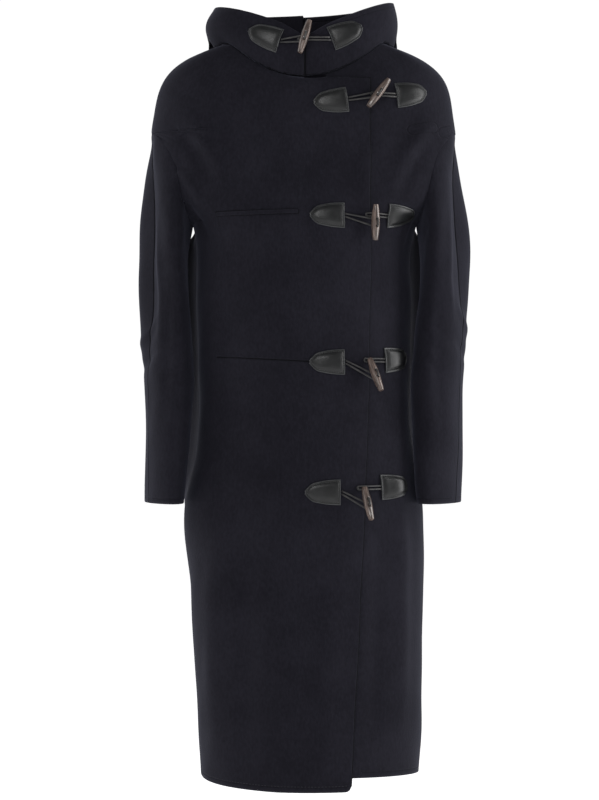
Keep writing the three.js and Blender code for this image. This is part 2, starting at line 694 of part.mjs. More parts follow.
// A hood meridian from the neck seam to the rim. At the front and sides it stands up, and behind
// the neck it falls down the back as a pouch and comes up again.
function hoodPoint(angle, way) {
  const out = new THREE.Vector3(Math.sin(angle), -Math.cos(angle), 0);
  const start = neckPoint(angle).addScaledVector(out, CLOTH);
  start.z += HOOD_RISE;
  const rim = rimPoint(angle);
  const bulge = (Math.sin(angle) < 0 ? HOOD_RIGHT : HOOD_LEFT).bulge * Math.abs(Math.sin(angle));
  const upright = start.clone().lerp(rim, way).addScaledVector(out, bulge * Math.sin(Math.PI * way));
  const share = smoothstep(Math.abs(angle), HOOD_POUCH_FROM, HOOD_POUCH_FULL);
  if (share === 0) return upright;
  const rearward = smoothstep(Math.abs(angle), HOOD_POUCH_FROM, Math.PI);
  const reach = lerp(POUCH_LEVELS_SIDE, POUCH_LEVELS_BACK, rearward);
  const fromBack = Math.PI - Math.abs(angle);
  const stations = POUCH.map((station) => {
    const level = station.reach * reach;
    const turned = Math.sign(angle) * (Math.PI - fromBack * lerp(1, POUCH_NARROWING, station.reach));
    const under = bodyPoint(turned, level, HEM_BACK);
    const over = station.over + POUCH_SIDE_LIFT * smoothstep(fromBack, POUCH_SIDE_FROM, POUCH_SIDE_FULL);
    return under.addScaledVector(bodyNormal(turned, level, HEM_BACK), over);
  });
  const pouch = new THREE.CatmullRomCurve3([start, ...stations, rim]).getPoint(way);
  return upright.lerp(drawnIn(pouch, way), share);
}

// The pouch's sides, drawn in softly so that they stay behind the hood's front.
function drawnIn(point, way) {
  const past = Math.abs(point.x) - POUCH_FREE_HALF_WIDTH;
  if (past <= 0) return point;
  const kept = POUCH_SOFT_WIDTH * (1 - Math.exp(-past / POUCH_SOFT_WIDTH));
  const cut = (past - kept) * smoothstep(way, 0, POUCH_NECK_SHARE);
  point.x -= Math.sign(point.x) * cut;
  point.z += POUCH_DRAWN_IN_LIFT * cut;
  return point;
}

// The left side of the hood lies behind the right one at the throat.
function hoodLeftPoint(angle, way) {
  const point = hoodPoint(angle, way);
  const near = 1 - smoothstep(point.x, 0, HOOD_UNDER_HALF_WIDTH);
  if (Math.cos(angle) > 0) point.y += HOOD_UNDER_SET_BACK * near;
  return point;
}

function hoodPiece(surface, fromAngle, toAngle) {
  return wall(HOOD_COLUMNS, HOOD_ROWS, (across, way) => {
    const angle = lerp(fromAngle, toAngle, across);
    const inside = clamp(way, STEP, 1 - STEP);
    return { point: surface(angle, way), normal: normalOf(surface, angle, inside) };
  });
}

const hoodBackSeam = angleAt(SEAM, NECK_HALF_WIDTH);
const hoodRightEdge = angleAt(HOOD_EDGE_X, NECK_HALF_WIDTH);
const hoodLeftEdge = angleAt(HOOD_EDGE_X + 2 * SEAM, NECK_HALF_WIDTH);
addPiece("hood_right", hoodPiece(hoodPoint, hoodBackSeam - Math.PI, hoodRightEdge), wool);
addPiece("hood_left", hoodPiece(hoodLeftPoint, hoodLeftEdge, Math.PI - hoodBackSeam), wool);

// A front's outer face by its angle and its share of the way down, in which steps are even.
function byDrop(surface) {
  return (angle, share) => surface(angle, levelAt(share * HEM_SIDE, HEM_SIDE));
}

// The place on a surface that has this x and z in front view.
function placeAt(surface, x, z, a, b) {
  for (let pass = 0; pass < SEARCH_PASSES; pass += 1) {
    const miss = surface(a, b);
    const alongA = surface(a + STEP, b).sub(miss).divideScalar(STEP);
    const alongB = surface(a, b + STEP).sub(miss).divideScalar(STEP);
    const missX = x - miss.x;
    const missZ = z - miss.z;
    const span = alongA.x * alongB.z - alongB.x * alongA.z;
    a += clamp((missX * alongB.z - missZ * alongB.x) / span, -SEARCH_STEP, SEARCH_STEP);
    b += clamp((missZ * alongA.x - missX * alongA.z) / span, -SEARCH_STEP, SEARCH_STEP);
  }
  return { a, b };
}

// Point, normal and the level and upward directions of a surface at a place.
function frameAt(surface, place) {
  const { a, b } = place;
  const point = surface(a, b);
  const alongA = surface(a + STEP, b).sub(surface(a - STEP, b)).divideScalar(2 * STEP);
  const alongB = surface(a, b + STEP).sub(surface(a, b - STEP)).divideScalar(2 * STEP);
  const level = alongA.clone().normalize();
  const normal = alongA.clone().cross(alongB).normalize();
  if (normal.y > 0) normal.negate();
  const up = level.clone().cross(normal).normalize();
  if (up.z < 0) up.negate();
  return { point, normal, level, up, alongA, alongB };
}

// The place reached by going over a surface, the heading turned from level.
function walk(surface, place, distance, heading) {
  const steps = Math.max(1, Math.ceil(Math.abs(distance) / WALK_STEP));
  let { a, b } = place;
  for (let i = 0; i < steps; i += 1) {
    const frame = frameAt(surface, { a, b });
    const go = frame.level.multiplyScalar(Math.cos(heading));
    go.addScaledVector(frame.up, Math.sin(heading)).multiplyScalar(distance / steps);
    const aa = frame.alongA.dot(frame.alongA);
    const ab = frame.alongA.dot(frame.alongB);
    const bb = frame.alongB.dot(frame.alongB);
    const ga = go.dot(frame.alongA);
    const gb = go.dot(frame.alongB);
    a += (ga * bb - gb * ab) / (aa * bb - ab * ab);
    b += (gb * aa - ga * ab) / (aa * bb - ab * ab);
  }
  return { a, b };
}

// The share of a tab's full crown at a place on it.
function tabCrown(along, across) {
  const ends = Math.sqrt(1 - along ** TAB_TIP_CROWN_TURN);
  const swell = lerp(TAB_BASE_CROWN, 1, Math.sin(Math.PI * along));
  return Math.sqrt(Math.max(0, 1 - across ** 2)) * ends * swell;
}

// A padded leather tab with a straight base and a pointed tip, laid on a panel.
function tabOn(surface, base, pointing, turn) {
  const lower = [];
  const upper = [];
  const heading = degToRad(turn);
  for (let row = 0; row <= TAB_ROWS; row += 1) {
    for (let column = 0; column <= TAB_COLUMNS; column += 1) {
      const along = column / TAB_COLUMNS;
      const across = (2 * row) / TAB_ROWS - 1;
      const half = lerp(TAB_TIP_HALF_WIDTH, TAB_HALF_WIDTH, Math.sqrt(1 - along ** TAB_POINT));
      const middle = walk(surface, base, pointing * TAB_LENGTH * along, heading);
      const { point, normal } = frameAt(surface, walk(surface, middle, across * half, heading + SIDE));
      const thick = lerp(TAB_EDGE, TAB_CROWN, tabCrown(along, across));
      lower.push(point.clone().addScaledVector(normal, OVER_CLOTH));
      upper.push(point.addScaledVector(normal, OVER_CLOTH + thick));
    }
  }
  return slab(TAB_COLUMNS, TAB_ROWS, lower, upper);
}

// A tube of round section through points.
function tube(points, radius) {
  const sides = CORD_SIDES;
  const rings = [];
  let across = new THREE.Vector3(0.3, 0.5, 1);
  points.forEach((point, i) => {
    const before = points[Math.max(i - 1, 0)];
    const after = points[Math.min(i + 1, points.length - 1)];
    const along = after.clone().sub(point).normalize();
    along.add(point.clone().sub(before).normalize()).normalize();
    across = across.clone().addScaledVector(along, -across.dot(along)).normalize();
    const upright = along.clone().cross(across);
    for (let side = 0; side < sides; side += 1) {
      const turn = (side / sides) * 2 * Math.PI;
      rings.push(
        point
          .clone()
          .addScaledVector(across, radius * Math.cos(turn))
          .addScaledVector(upright, radius * Math.sin(turn)),
      );
    }
  });
  const faces = [];
  for (let ring = 0; ring < points.length - 1; ring += 1) {
    for (let side = 0; side < sides; side += 1) {
      const a = ring * sides + side;
      const b = ring * sides + ((side + 1) % sides);
      faces.push(a, b, b + sides, a, b + sides, a + sides);
    }
  }
  const end = (points.length - 1) * sides;
  for (let side = 1; side < sides - 1; side += 1) {
    faces.push(0, side + 1, side, end, end + side, end + side + 1);
  }
  return closed(rings, faces);
}

// Points of a route that turns its corners roundly. The first and last points are its ends.
function roundedRoute(corners, bend) {
  const route = [corners[0]];
  for (let i = 1; i < corners.length - 1; i += 1) {
    const corner = corners[i];
    const near = (other) => {
      const way = other.clone().sub(corner);
      const reach = Math.min(bend, way.length() * CORNER_SHARE);
      return corner.clone().addScaledVector(way.normalize(), reach);
    };
    const curve = new THREE.QuadraticBezierCurve3(near(corners[i - 1]), corner, near(corners[i + 1]));
    route.push(...curve.getPoints(CORNER_POINTS));
  }
  route.push(corners[corners.length - 1]);
  return route;
}

function solidOf(geometry) {
  const bare = geometry.clone();
  bare.deleteAttribute("normal");
  bare.deleteAttribute("uv");
  const merged = mergeVertices(bare, 1e-4);
  return new wasm.Manifold(
    new wasm.Mesh({
      numProp: 3,
      vertProperties: merged.attributes.position.array,
      triVerts: new Uint32Array(merged.index.array),
    }),
  );
}

function geometryOf(solid) {
  const mesh = solid.getMesh();
  const geometry = new THREE.BufferGeometry();
  geometry.setAttribute("position", new THREE.BufferAttribute(new Float32Array(mesh.vertProperties), 3));
  geometry.setIndex(Array.from(mesh.triVerts));
  geometry.computeVertexNormals();
  return geometry;
}

// A horn toggle along its local Y axis, flat at its ends, with two cord holes along Z.
function toggleGeometry() {
  const profile = [new THREE.Vector2(0, -TOGGLE_LENGTH / 2)];
  for (let ring = 0; ring <= TOGGLE_RINGS; ring += 1) {
    const share = (2 * ring) / TOGGLE_RINGS - 1;
    const radius = lerp(TOGGLE_MID_RADIUS, TOGGLE_END_RADIUS, Math.abs(share) ** TOGGLE_TAPER);
    profile.push(new THREE.Vector2(radius, (share * TOGGLE_LENGTH) / 2));
  }
  profile.push(new THREE.Vector2(0, TOGGLE_LENGTH / 2));
  let solid = solidOf(new THREE.LatheGeometry(profile, TOGGLE_SIDES));
  for (const end of [-1, 1]) {
    const length = 4 * TOGGLE_MID_RADIUS;
    const hole = new THREE.CylinderGeometry(HOLE_RADIUS, HOLE_RADIUS, length, HOLE_SIDES);
    hole.rotateX(SIDE);
    hole.translate(0, end * HOLE_SPREAD, 0);
    solid = solid.subtract(solidOf(hole));
  }
  return geometryOf(solid);
}
const toggleShape = toggleGeometry();

// One fastening: a tab on each side, the toggle, its cord and the loop that holds it.
function addFastening(number, size, rightSurface, leftSurface, start) {
  const rightBase = placeAt(rightSurface, size.rightX, size.rightZ, start.a, start.b);
  const leftBase = placeAt(leftSurface, size.leftX, size.leftZ, start.a, start.b);
  const centre = placeAt(rightSurface, size.toggleX, size.toggleZ, start.a, start.b);
  addPiece("tab_right_" + number, tabOn(rightSurface, rightBase, -1, size.rightTurn), leather);
  addPiece("tab_left_" + number, tabOn(leftSurface, leftBase, 1, size.leftTurn), leather);

  const { point, normal, level, up } = frameAt(rightSurface, centre);
  const turn = degToRad(size.toggleTurn);
  const lean = degToRad(size.toggleLean);
  const tilted = up.clone().multiplyScalar(Math.cos(turn)).addScaledVector(level, Math.sin(turn));
  const axis = tilted.clone().multiplyScalar(Math.cos(lean)).addScaledVector(normal, -Math.sin(lean));
  const across = axis.clone().cross(normal).normalize();
  const out = across.clone().cross(axis).normalize();
  const middle = point.clone().addScaledVector(normal, size.height);
  const toggle = addPiece("toggle_" + number, toggleShape.clone(), horn);
  toggle.quaternion.setFromRotationMatrix(new THREE.Matrix4().makeBasis(across, axis, out));
  toggle.position.copy(middle);

  const offTab = (surface, base, pointing, spread, height) => {
    const edge = walk(surface, base, -pointing * CORD_OFF_TAB, 0);
    const frame = frameAt(surface, walk(surface, edge, spread, SIDE));
    return frame.point.addScaledVector(frame.normal, height);
  };
  const behind = TOGGLE_MID_RADIUS + CORD_RADIUS + 2 * SEAM;
  const holeEnd = (end, outward) => {
    const hole = middle.clone().addScaledVector(axis, end * HOLE_SPREAD);
    return hole.addScaledVector(out, outward);
  };
  const strand = (end) => [
    offTab(rightSurface, rightBase, -1, end * CORD_SPREAD / 2, CORD_START_HEIGHT),
    holeEnd(end, -behind),
    holeEnd(end, behind),
  ];
  const cordRoute = [...strand(1), ...strand(-1).reverse()];
  addPiece("cord_" + number, tube(roundedRoute(cordRoute, CORD_BEND), CORD_RADIUS), leather);

  const over = (x, spread) => {
    const place = placeAt(rightSurface, x, size.leftZ, start.a, start.b);
    const frame = frameAt(rightSurface, walk(rightSurface, place, spread, SIDE));
    return frame.point.addScaledVector(frame.normal, CORD_HEIGHT);
  };
  const edgeX = Math.min(size.leftX - LOOP_OFF_TAB, size.toggleX + LOOP_PAST_TOGGLE);
  const loopSide = (end) => [
    offTab(leftSurface, leftBase, 1, end * LOOP_SPREAD, CORD_START_HEIGHT),
    over(edgeX, end * LOOP_SPREAD),
    over(size.toggleX - LOOP_PAST_TOGGLE, end * LOOP_SPREAD),
  ];
  const loopRoute = [...loopSide(1), ...loopSide(-1).reverse()];
  addPiece("loop_" + number, tube(roundedRoute(loopRoute, LOOP_SPREAD), CORD_RADIUS), leather);
}

FASTENINGS.forEach((size, i) => {
  if (i === 0) {
    addFastening(i + 1, size, hoodPoint, hoodLeftPoint, { a: FIRST_ANGLE, b: HOOD_FIRST_WAY });
    return;
  }
  const start = { a: FIRST_ANGLE, b: -size.rightZ / HEM_SIDE };
  addFastening(i + 1, size, byDrop(overFront), byDrop(underFront), start);
});

// The narrow welt of the chest pocket, level on the right front.
function weltOn(surface) {
  const start = placeAt(surface, WELT_FROM_X, WELT_Z, -FIRST_ANGLE, -WELT_Z / HEM_SIDE);
  const columns = WELT_COLUMNS;
  const lower = [];
  const upper = [];
  for (const end of [-1, 1]) {
    for (let column = 0; column <= columns; column += 1) {
      const middle = walk(surface, start, (WELT_LENGTH * column) / columns, 0);
      const { point, normal } = frameAt(surface, walk(surface, middle, end * WELT_HALF_HEIGHT, SIDE));
      lower.push(point.clone().addScaledVector(normal, OVER_CLOTH));
      upper.push(point.addScaledVector(normal, OVER_CLOTH + WELT_THICK));
    }
  }
  return slab(columns, 1, lower, upper);
}
addPiece("chest_welt", weltOn(byDrop(overFront)), wool);

export default coat;
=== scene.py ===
# %% [markdown]
# # A long wool duffle coat
# The real coat is cut from thick double-faced wool, five horn toggles close it, and each toggle
# hangs on a leather cord between two padded leather tabs. It is shown as it is when worn, with
# nobody in it. Each CAD part gives a piece its place and form. This script makes each one finer,
# lays soft folds over all of them together, adds the sewing, and gives each its finish.

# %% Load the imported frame
import math

import bmesh
import bpy
import numpy as np
from mathutils import Matrix, Vector
from mathutils.bvhtree import BVHTree
from mathutils.kdtree import KDTree


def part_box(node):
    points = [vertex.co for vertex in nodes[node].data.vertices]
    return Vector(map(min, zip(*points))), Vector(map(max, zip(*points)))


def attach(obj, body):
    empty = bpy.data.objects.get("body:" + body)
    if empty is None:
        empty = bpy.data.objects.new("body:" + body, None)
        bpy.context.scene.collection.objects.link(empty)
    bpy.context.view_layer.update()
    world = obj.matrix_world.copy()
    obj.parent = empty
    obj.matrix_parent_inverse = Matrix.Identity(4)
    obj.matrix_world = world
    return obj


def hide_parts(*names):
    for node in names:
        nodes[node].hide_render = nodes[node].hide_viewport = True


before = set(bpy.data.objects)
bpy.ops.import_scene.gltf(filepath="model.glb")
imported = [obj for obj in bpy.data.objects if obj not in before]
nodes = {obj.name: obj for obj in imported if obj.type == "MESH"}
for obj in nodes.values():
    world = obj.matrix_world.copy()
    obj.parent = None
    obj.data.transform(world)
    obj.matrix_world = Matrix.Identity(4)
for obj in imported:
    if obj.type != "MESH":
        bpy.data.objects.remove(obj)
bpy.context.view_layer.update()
SIDES = ("right", "left")
FASTENINGS = (1, 2, 3, 4, 5)
print("parts in the frame:", len(nodes))

# %% [markdown]
# ## Camera
# The coat was photographed level with its waist, from straight ahead and far enough away that the
# sides hardly converge. A long lens at that distance gives the same view.

# %% Place the camera
CAMERA_AWAY = 3.4
CAMERA_SIDE = -0.0072
CAMERA_HEIGHT = -0.552
CAMERA_LENS = 95.6

camera_data = bpy.data.cameras.new("camera")
camera_data.lens = CAMERA_LENS
camera_data.sensor_width = 36
camera = bpy.data.objects.new("camera", camera_data)
camera.location = (CAMERA_SIDE, -CAMERA_AWAY, CAMERA_HEIGHT)
camera.rotation_euler = (math.pi / 2, 0, 0)
bpy.context.scene.collection.objects.link(camera)
bpy.context.scene.camera = camera
print("camera at", tuple(round(v, 3) for v in camera.location))

# %% [markdown]
# ## Shader maths
# Long formulas are hard to follow as chains of nodes. This small class lets them be written as
# ordinary sums: each operator adds the Math node that does it.


# %% Write shader formulas as expressions
class Wire:
    """One output of a node, which can be added, subtracted and multiplied like a number."""

    def __init__(self, nodes_of, socket):
        self.nodes_of = nodes_of
        self.socket = socket

    def math(self, operation, first, second):
        settings = {"operation": operation}
        return self.nodes_of.node("ShaderNodeMath", settings, {0: first, 1: second})

    def __add__(self, other):
        return self.math("ADD", self, other)

    def __sub__(self, other):
        return self.math("SUBTRACT", self, other)

    def __rsub__(self, other):
        return self.math("SUBTRACT", other, self)

    def __mul__(self, other):
        return self.math("MULTIPLY", self, other)

    __radd__ = __add__
    __rmul__ = __mul__

    def bell(self, centre, half):
        """1 where the value is at the centre, falling softly to 0 about two halves away."""
        away = (self - centre) * (1 / half)
        return self.math("POWER", math.e, away * away * -1)

    def ramp(self, low, high):
        """0 at low, 1 at high and smooth between them."""
        settings = {"interpolation_type": "SMOOTHSTEP"}
        return self.nodes_of.node("ShaderNodeMapRange", settings, {0: self, 1: low, 2: high})


class Nodes:
    """A tree of nodes, and the one method that adds nodes to it."""

    def __init__(self, tree):
        self.tree = tree
        self.tree.nodes.clear()

    def node(self, kind, settings=None, sockets=None, output=0):
        made = self.tree.nodes.new(kind)
        for key, value in (settings or {}).items():
            setattr(made, key, value)
        for key, value in (sockets or {}).items():
            if isinstance(value, Wire):
                self.tree.links.new(value.socket, made.inputs[key])
            else:
                made.inputs[key].default_value = value
        return Wire(self, made.outputs[output]) if len(made.outputs) else None


class Finish(Nodes):
    """A material whose nodes are added by name."""

    def __init__(self, name):
        self.material = bpy.data.materials.new(name)
        self.material.use_nodes = True
        super().__init__(self.material.node_tree)

    def attribute(self, name, output="Fac"):
        return self.node("ShaderNodeAttribute", {"attribute_name": name}, {}, output)

    def place(self):
        return self.node("ShaderNodeTexCoord", {}, {}, "Object")

    def noise(self, place, scale, detail=2, stretch=(1, 1, 1)):
        mapped = self.node("ShaderNodeMapping", {}, {"Vector": place, "Scale": stretch})
        sockets = {"Vector": mapped, "Scale": scale, "Detail": detail, "Roughness": 0.6}
        return self.node("ShaderNodeTexNoise", {}, sockets)

    def blend(self, share, first, second):
        """A mix of two colours."""
        colours = {0: share, 6: first, 7: second}
        return self.node("ShaderNodeMix", {"data_type": "RGBA"}, colours, 2)

    def close(self, height, lift, sockets):
        """Ends the material in a Principled shader with its bump."""
        bump = self.node("ShaderNodeBump", {}, {"Height": height, "Distance": lift, "Strength": 1.0})
        shader = self.node("ShaderNodeBsdfPrincipled", {}, {**sockets, "Normal": bump})
        self.node("ShaderNodeOutputMaterial", {}, {"Surface": shader})
        return self.material


# %% [markdown]
# ## Wool
# Double-faced wool has a short brushed nap. It drinks light head on and catches it at the sides of
# each fold, so it has a sheen and hardly any gloss. The dye takes unevenly in soft clouds, and the
# fibres lie downwards, so the finest pattern is stretched along the coat. A sewn seam and the row of
# stitches that fells an edge each sink into a thin groove, and the shade in that groove is painted
# into the colour as a thin dark line. The right front has a finish of its own, because the waist
# pocket is a plain slit in it with two pressed lips, and the shade inside the slit is painted in as
# a dark line.

# %% Make the wool
WOOL_DEEP = (0.0060, 0.0057, 0.0090, 1)
WOOL_LIT = (0.0125, 0.0120, 0.0176, 1)
WOOL_WORN = (0.0200, 0.0195, 0.0275, 1)
# The colour that painted shade darkens the wool towards.
WOOL_SHADE = (0.0010, 0.0010, 0.0015, 1)
FELL_FROM_EDGE = 0.0085
FELL_HALF = 0.0011
SEAM_HALF = 0.0014
SLIT_START = (-0.135, -0.485)
SLIT_END = (0.012, -0.493)
SLIT_HALF = 0.0009
LIP_AWAY = 0.0031
LIP_HALF = 0.0013


def slit_marks(finish):
    """The waist pocket's slit, whose shade is painted as a dark line and sunk as a groove, and the
    lips on both sides of it.
    """
    across_x = finish.node("ShaderNodeSeparateXYZ", {}, {0: finish.place()}, "X")
    up_z = finish.node("ShaderNodeSeparateXYZ", {}, {0: finish.place()}, "Z")
    slope = (SLIT_END[1] - SLIT_START[1]) / (SLIT_END[0] - SLIT_START[0])
    off = up_z - SLIT_START[1] - (across_x - SLIT_START[0]) * slope
    within = across_x.ramp(SLIT_START[0] - 0.002, SLIT_START[0] + 0.001)
    within = within * (1 - across_x.ramp(SLIT_END[0] - 0.001, SLIT_END[0] + 0.002))
    lips = off.bell(LIP_AWAY, LIP_HALF) + off.bell(-LIP_AWAY, LIP_HALF)
    return off.bell(0, SLIT_HALF) * within, lips * within


def wool(name, has_slit=False, edge_shade=0.0):
    finish = Finish(name)
    place = finish.place()
    clouds = finish.noise(place, 11, 3)
    nap = finish.noise(place, 260, 4, (1, 1, 0.55))
    fibres = finish.noise(place, 900, 2, (1, 1, 0.16))
    from_edge = finish.attribute("from_edge")
    # The seam and the felled line carry painted shade: their colour is darkened for the shade in
    # their grooves, and the bump sinks them too.
    seam = 1 - finish.attribute("from_seam").ramp(0.0003, SEAM_HALF)
    worn = (1 - from_edge.ramp(0.0004, 0.0035)) * (0.25 + 0.5 * nap)
    felled = from_edge.bell(FELL_FROM_EDGE, FELL_HALF)
    # Painted shade: this darkens the seams, the felled line and the welt's edges for the shade that
    # falls in them.
    shade = 0.75 * seam + 0.3 * felled + edge_shade * (1 - from_edge.ramp(0.0012, 0.0022))
    height = 0.45 * nap + 0.3 * fibres - 1.1 * felled - 1.2 * seam
    if has_slit:
        gap, lips = slit_marks(finish)
        # Painted shade inside the waist slit.
        shade = shade + gap
        height = height + 0.9 * lips - 2.2 * gap
    cloth = finish.blend((0.45 * clouds + 0.55 * nap).ramp(0.3, 0.72), WOOL_DEEP, WOOL_LIT)
    cloth = finish.blend(worn, cloth, WOOL_WORN)
    sockets = {
        "Base Color": finish.blend(shade.ramp(0, 1), cloth, WOOL_SHADE),
        "Roughness": 0.86 + 0.1 * nap,
        "Specular IOR Level": 0.10,
        "Sheen Weight": 0.11,
        "Sheen Roughness": 0.42,
        "Sheen Tint": (0.42, 0.44, 0.62, 1),
    }
    return finish.close(height, 0.0006, sockets)


WOOL = wool("navy_wool")
SLIT_WOOL = wool("navy_wool_with_slit", has_slit=True)
# Painted shade along the welt's edges, which shows as two thin dark lines.
WELT_WOOL = wool("welt_wool", edge_shade=1.0)

# %% [markdown]
# ## Leather
# The tabs and cords are black cowhide with a soft, waxy shine. A fine pebbled grain breaks up the
# highlights, and the cut edges are rubbed a little paler, which draws the tabs' outline.

# %% Make the leather
TAB_DEEP = (0.0044, 0.0047, 0.0052, 1)
TAB_LIT = (0.0092, 0.0098, 0.0106, 1)
CORD_DEEP = (0.0200, 0.0195, 0.0200, 1)
CORD_LIT = (0.0480, 0.0465, 0.0460, 1)
LEATHER_EDGE = (0.055, 0.058, 0.060, 1)
STITCH_FROM_EDGE = 0.0026


def leather(name, deep, lit, roughness, grain_lift):
    finish = Finish(name)
    place = finish.place()
    cells = {"Vector": place, "Scale": 1300, "Randomness": 1.0}
    grain = finish.node("ShaderNodeTexVoronoi", {"feature": "SMOOTH_F1"}, cells)
    wear = finish.noise(place, 95, 4)
    from_edge = finish.attribute("from_edge")
    rubbed = (1 - from_edge.ramp(0.0002, 0.0016)) * (0.35 + 0.6 * wear)
    hide = finish.blend(wear.ramp(0.35, 0.75), deep, lit)
    channel = from_edge.bell(STITCH_FROM_EDGE, 0.0006)
    sockets = {
        "Base Color": finish.blend(rubbed, hide, LEATHER_EDGE),
        "Roughness": roughness + 0.16 * wear + 0.08 * grain,
        "Specular IOR Level": 0.36,
    }
    return finish.close(0.5 * grain + 0.5 * wear - 1.4 * channel, grain_lift, sockets)


TAB_LEATHER = leather("padded_leather", TAB_DEEP, TAB_LIT, 0.22, 0.00022)
CORD_LEATHER = leather("cord_leather", CORD_DEEP, CORD_LIT, 0.34, 0.00012)

# %% [markdown]
# ## Horn
# Each toggle is cut from buffalo horn and polished. The growth of the horn leaves long streaks
# along it, so its pattern follows the toggle and not the world: every point carries its place
# along and across its own toggle.

# %% Make the horn and the thread
HORN_DARK = (0.036, 0.024, 0.020, 1)
HORN_BROWN = (0.125, 0.088, 0.073, 1)
HORN_PALE = (0.26, 0.205, 0.175, 1)


def horn(name):
    finish = Finish(name)
    place = finish.attribute("own_place", "Vector")
    streaks = finish.noise(place, 330, 3, (1, 1, 0.07))
    fine = finish.noise(place, 1500, 2, (1, 1, 0.03))
    body = finish.blend(streaks.ramp(0.33, 0.64), HORN_DARK, HORN_BROWN)
    pale = (0.6 * streaks + 0.4 * fine).ramp(0.52, 0.74)
    sockets = {
        "Base Color": finish.blend(pale * 0.75, body, HORN_PALE),
        "Roughness": 0.2 + 0.16 * fine,
        "Coat Weight": 0.35,
        "Coat Roughness": 0.12,
    }
    return finish.close(0.6 * fine + 0.4 * streaks, 0.00012, sockets)


HORN = horn("streaked_horn")

# %% [markdown]
# ## Thread
# The tabs are sewn with thick waxed thread, which is a little shinier than the hide, and the wool
# with a matt navy one that hardly shows. One recipe serves both, with its own two colours.


# %% Make the threads
def thread(name, deep, lit, roughness):
    finish = Finish(name)
    strands = finish.noise(finish.place(), 2600, 2)
    sockets = {
        "Base Color": finish.blend(strands.ramp(0.35, 0.7), deep, lit),
        "Roughness": roughness + 0.2 * strands,
    }
    return finish.close(strands, 0.00015, sockets)


TAB_THREAD = thread("waxed_thread", TAB_LIT, LEATHER_EDGE, 0.45)
WOOL_THREAD = thread("navy_thread", WOOL_LIT, WOOL_WORN, 0.7)
finishes = (WOOL, SLIT_WOOL, WELT_WOOL, TAB_LEATHER, CORD_LEATHER, HORN, TAB_THREAD, WOOL_THREAD)
print("finishes:", [finish.name for finish in finishes])

# %% [markdown]
# ## From a coarse solid to a fine piece
# A CAD part is coarse, and its triangles are loose. Its copy is welded, its triangles are paired
# into four-sided faces, and a subdivision surface rounds it. Subdivision shrinks a shape, so the
# cage is pushed back until the smooth surface runs through the CAD's own points again.

# %% Copy a CAD part as a cage
SHARP = math.radians(48)
WELD = 2e-5
WALL_THICKEST = 0.0055
OUTER, INNER, RIM = 0, 1, 2
PAIR_ANGLE = math.radians(40)
PAIR_SHAPE = math.radians(85)
MARKING_PASSES = 2


def cage_of(name):
    """A welded copy of a CAD part, in four-sided faces, with its sharp edges creased."""
    cage = bmesh.new()
    cage.from_mesh(nodes[name].data)
    bmesh.ops.remove_doubles(cage, verts=cage.verts, dist=WELD)
    bmesh.ops.join_triangles(
        cage,
        faces=cage.faces,
        angle_face_threshold=PAIR_ANGLE,
        angle_shape_threshold=PAIR_SHAPE,
    )
    crease = cage.edges.layers.float.new("crease_edge")
    for edge in cage.edges:
        if len(edge.link_faces) == 2 and edge.calc_face_angle(0) > SHARP:
            edge[crease] = 1.0
    return cage, crease


def smooth_groups(cage):
    """The cage's faces in groups that no sharp edge divides, the largest first."""
    left = set(cage.faces)
    groups = []
    while left:
        group = [left.pop()]
        for face in group:
            for edge in face.edges:
                if edge.calc_face_angle(0) <= SHARP:
                    beside = [other for other in edge.link_faces if other in left]
                    left.difference_update(beside)
                    group.extend(beside)
        groups.append(group)
    return sorted(groups, key=lambda group: -sum(face.calc_area() for face in group))


def sheets_of(cage, crease, outward):
    """Marks each face of a wall as its outer sheet, its inner sheet or the rim between them."""
    first, second = smooth_groups(cage)[:2]
    facing = sum(f.calc_area() * f.normal.dot(outward(f.calc_center_median())) for f in first)
    if facing < 0:
        first, second = second, first
    kinds = {face: OUTER for face in first} | {face: INNER for face in second}
    corners = {OUTER: set(), INNER: set()}
    for face, kind in kinds.items():
        corners[kind].update(face.verts)
    tree = BVHTree.FromBMesh(cage)
    thin = []
    for face in cage.faces:
        start = face.calc_center_median() - face.normal * WELD
        if face not in kinds and tree.ray_cast(start, -face.normal, WALL_THICKEST)[0] is not None:
            thin.append(face)
    for face in thin * MARKING_PASSES:
        on_outer = sum(corner in corners[OUTER] for corner in face.verts)
        on_inner = sum(corner in corners[INNER] for corner in face.verts)
        if max(on_outer, on_inner) > 1 and min(on_outer, on_inner) == 0:
            kinds[face] = OUTER if on_outer else INNER
            corners[kinds[face]].update(face.verts)
    for face in cage.faces:
        face.material_index = kinds.get(face, RIM)
    for edge in cage.edges:
        meeting = {face.material_index for face in edge.link_faces}
        corner = meeting == {RIM} and edge.calc_face_angle(0) > SHARP
        edge[crease] = 1.0 if corner or len(meeting) == 2 else 0.0


# %% Subdivide it through the CAD's points
def object_of(name, mesh):
    made = bpy.data.objects.new(name, mesh)
    bpy.context.scene.collection.objects.link(made)
    return made


def evaluated_mesh(obj):
    bpy.context.view_layer.update()
    graph = bpy.context.evaluated_depsgraph_get()
    return bpy.data.meshes.new_from_object(obj.evaluated_get(graph))


def points_of(mesh):
    found = np.empty(len(mesh.vertices) * 3)
    mesh.vertices.foreach_get("co", found)
    return found.reshape(-1, 3)


def set_points(mesh, points):
    mesh.vertices.foreach_set("co", np.asarray(points, np.float32).ravel())
    mesh.update()


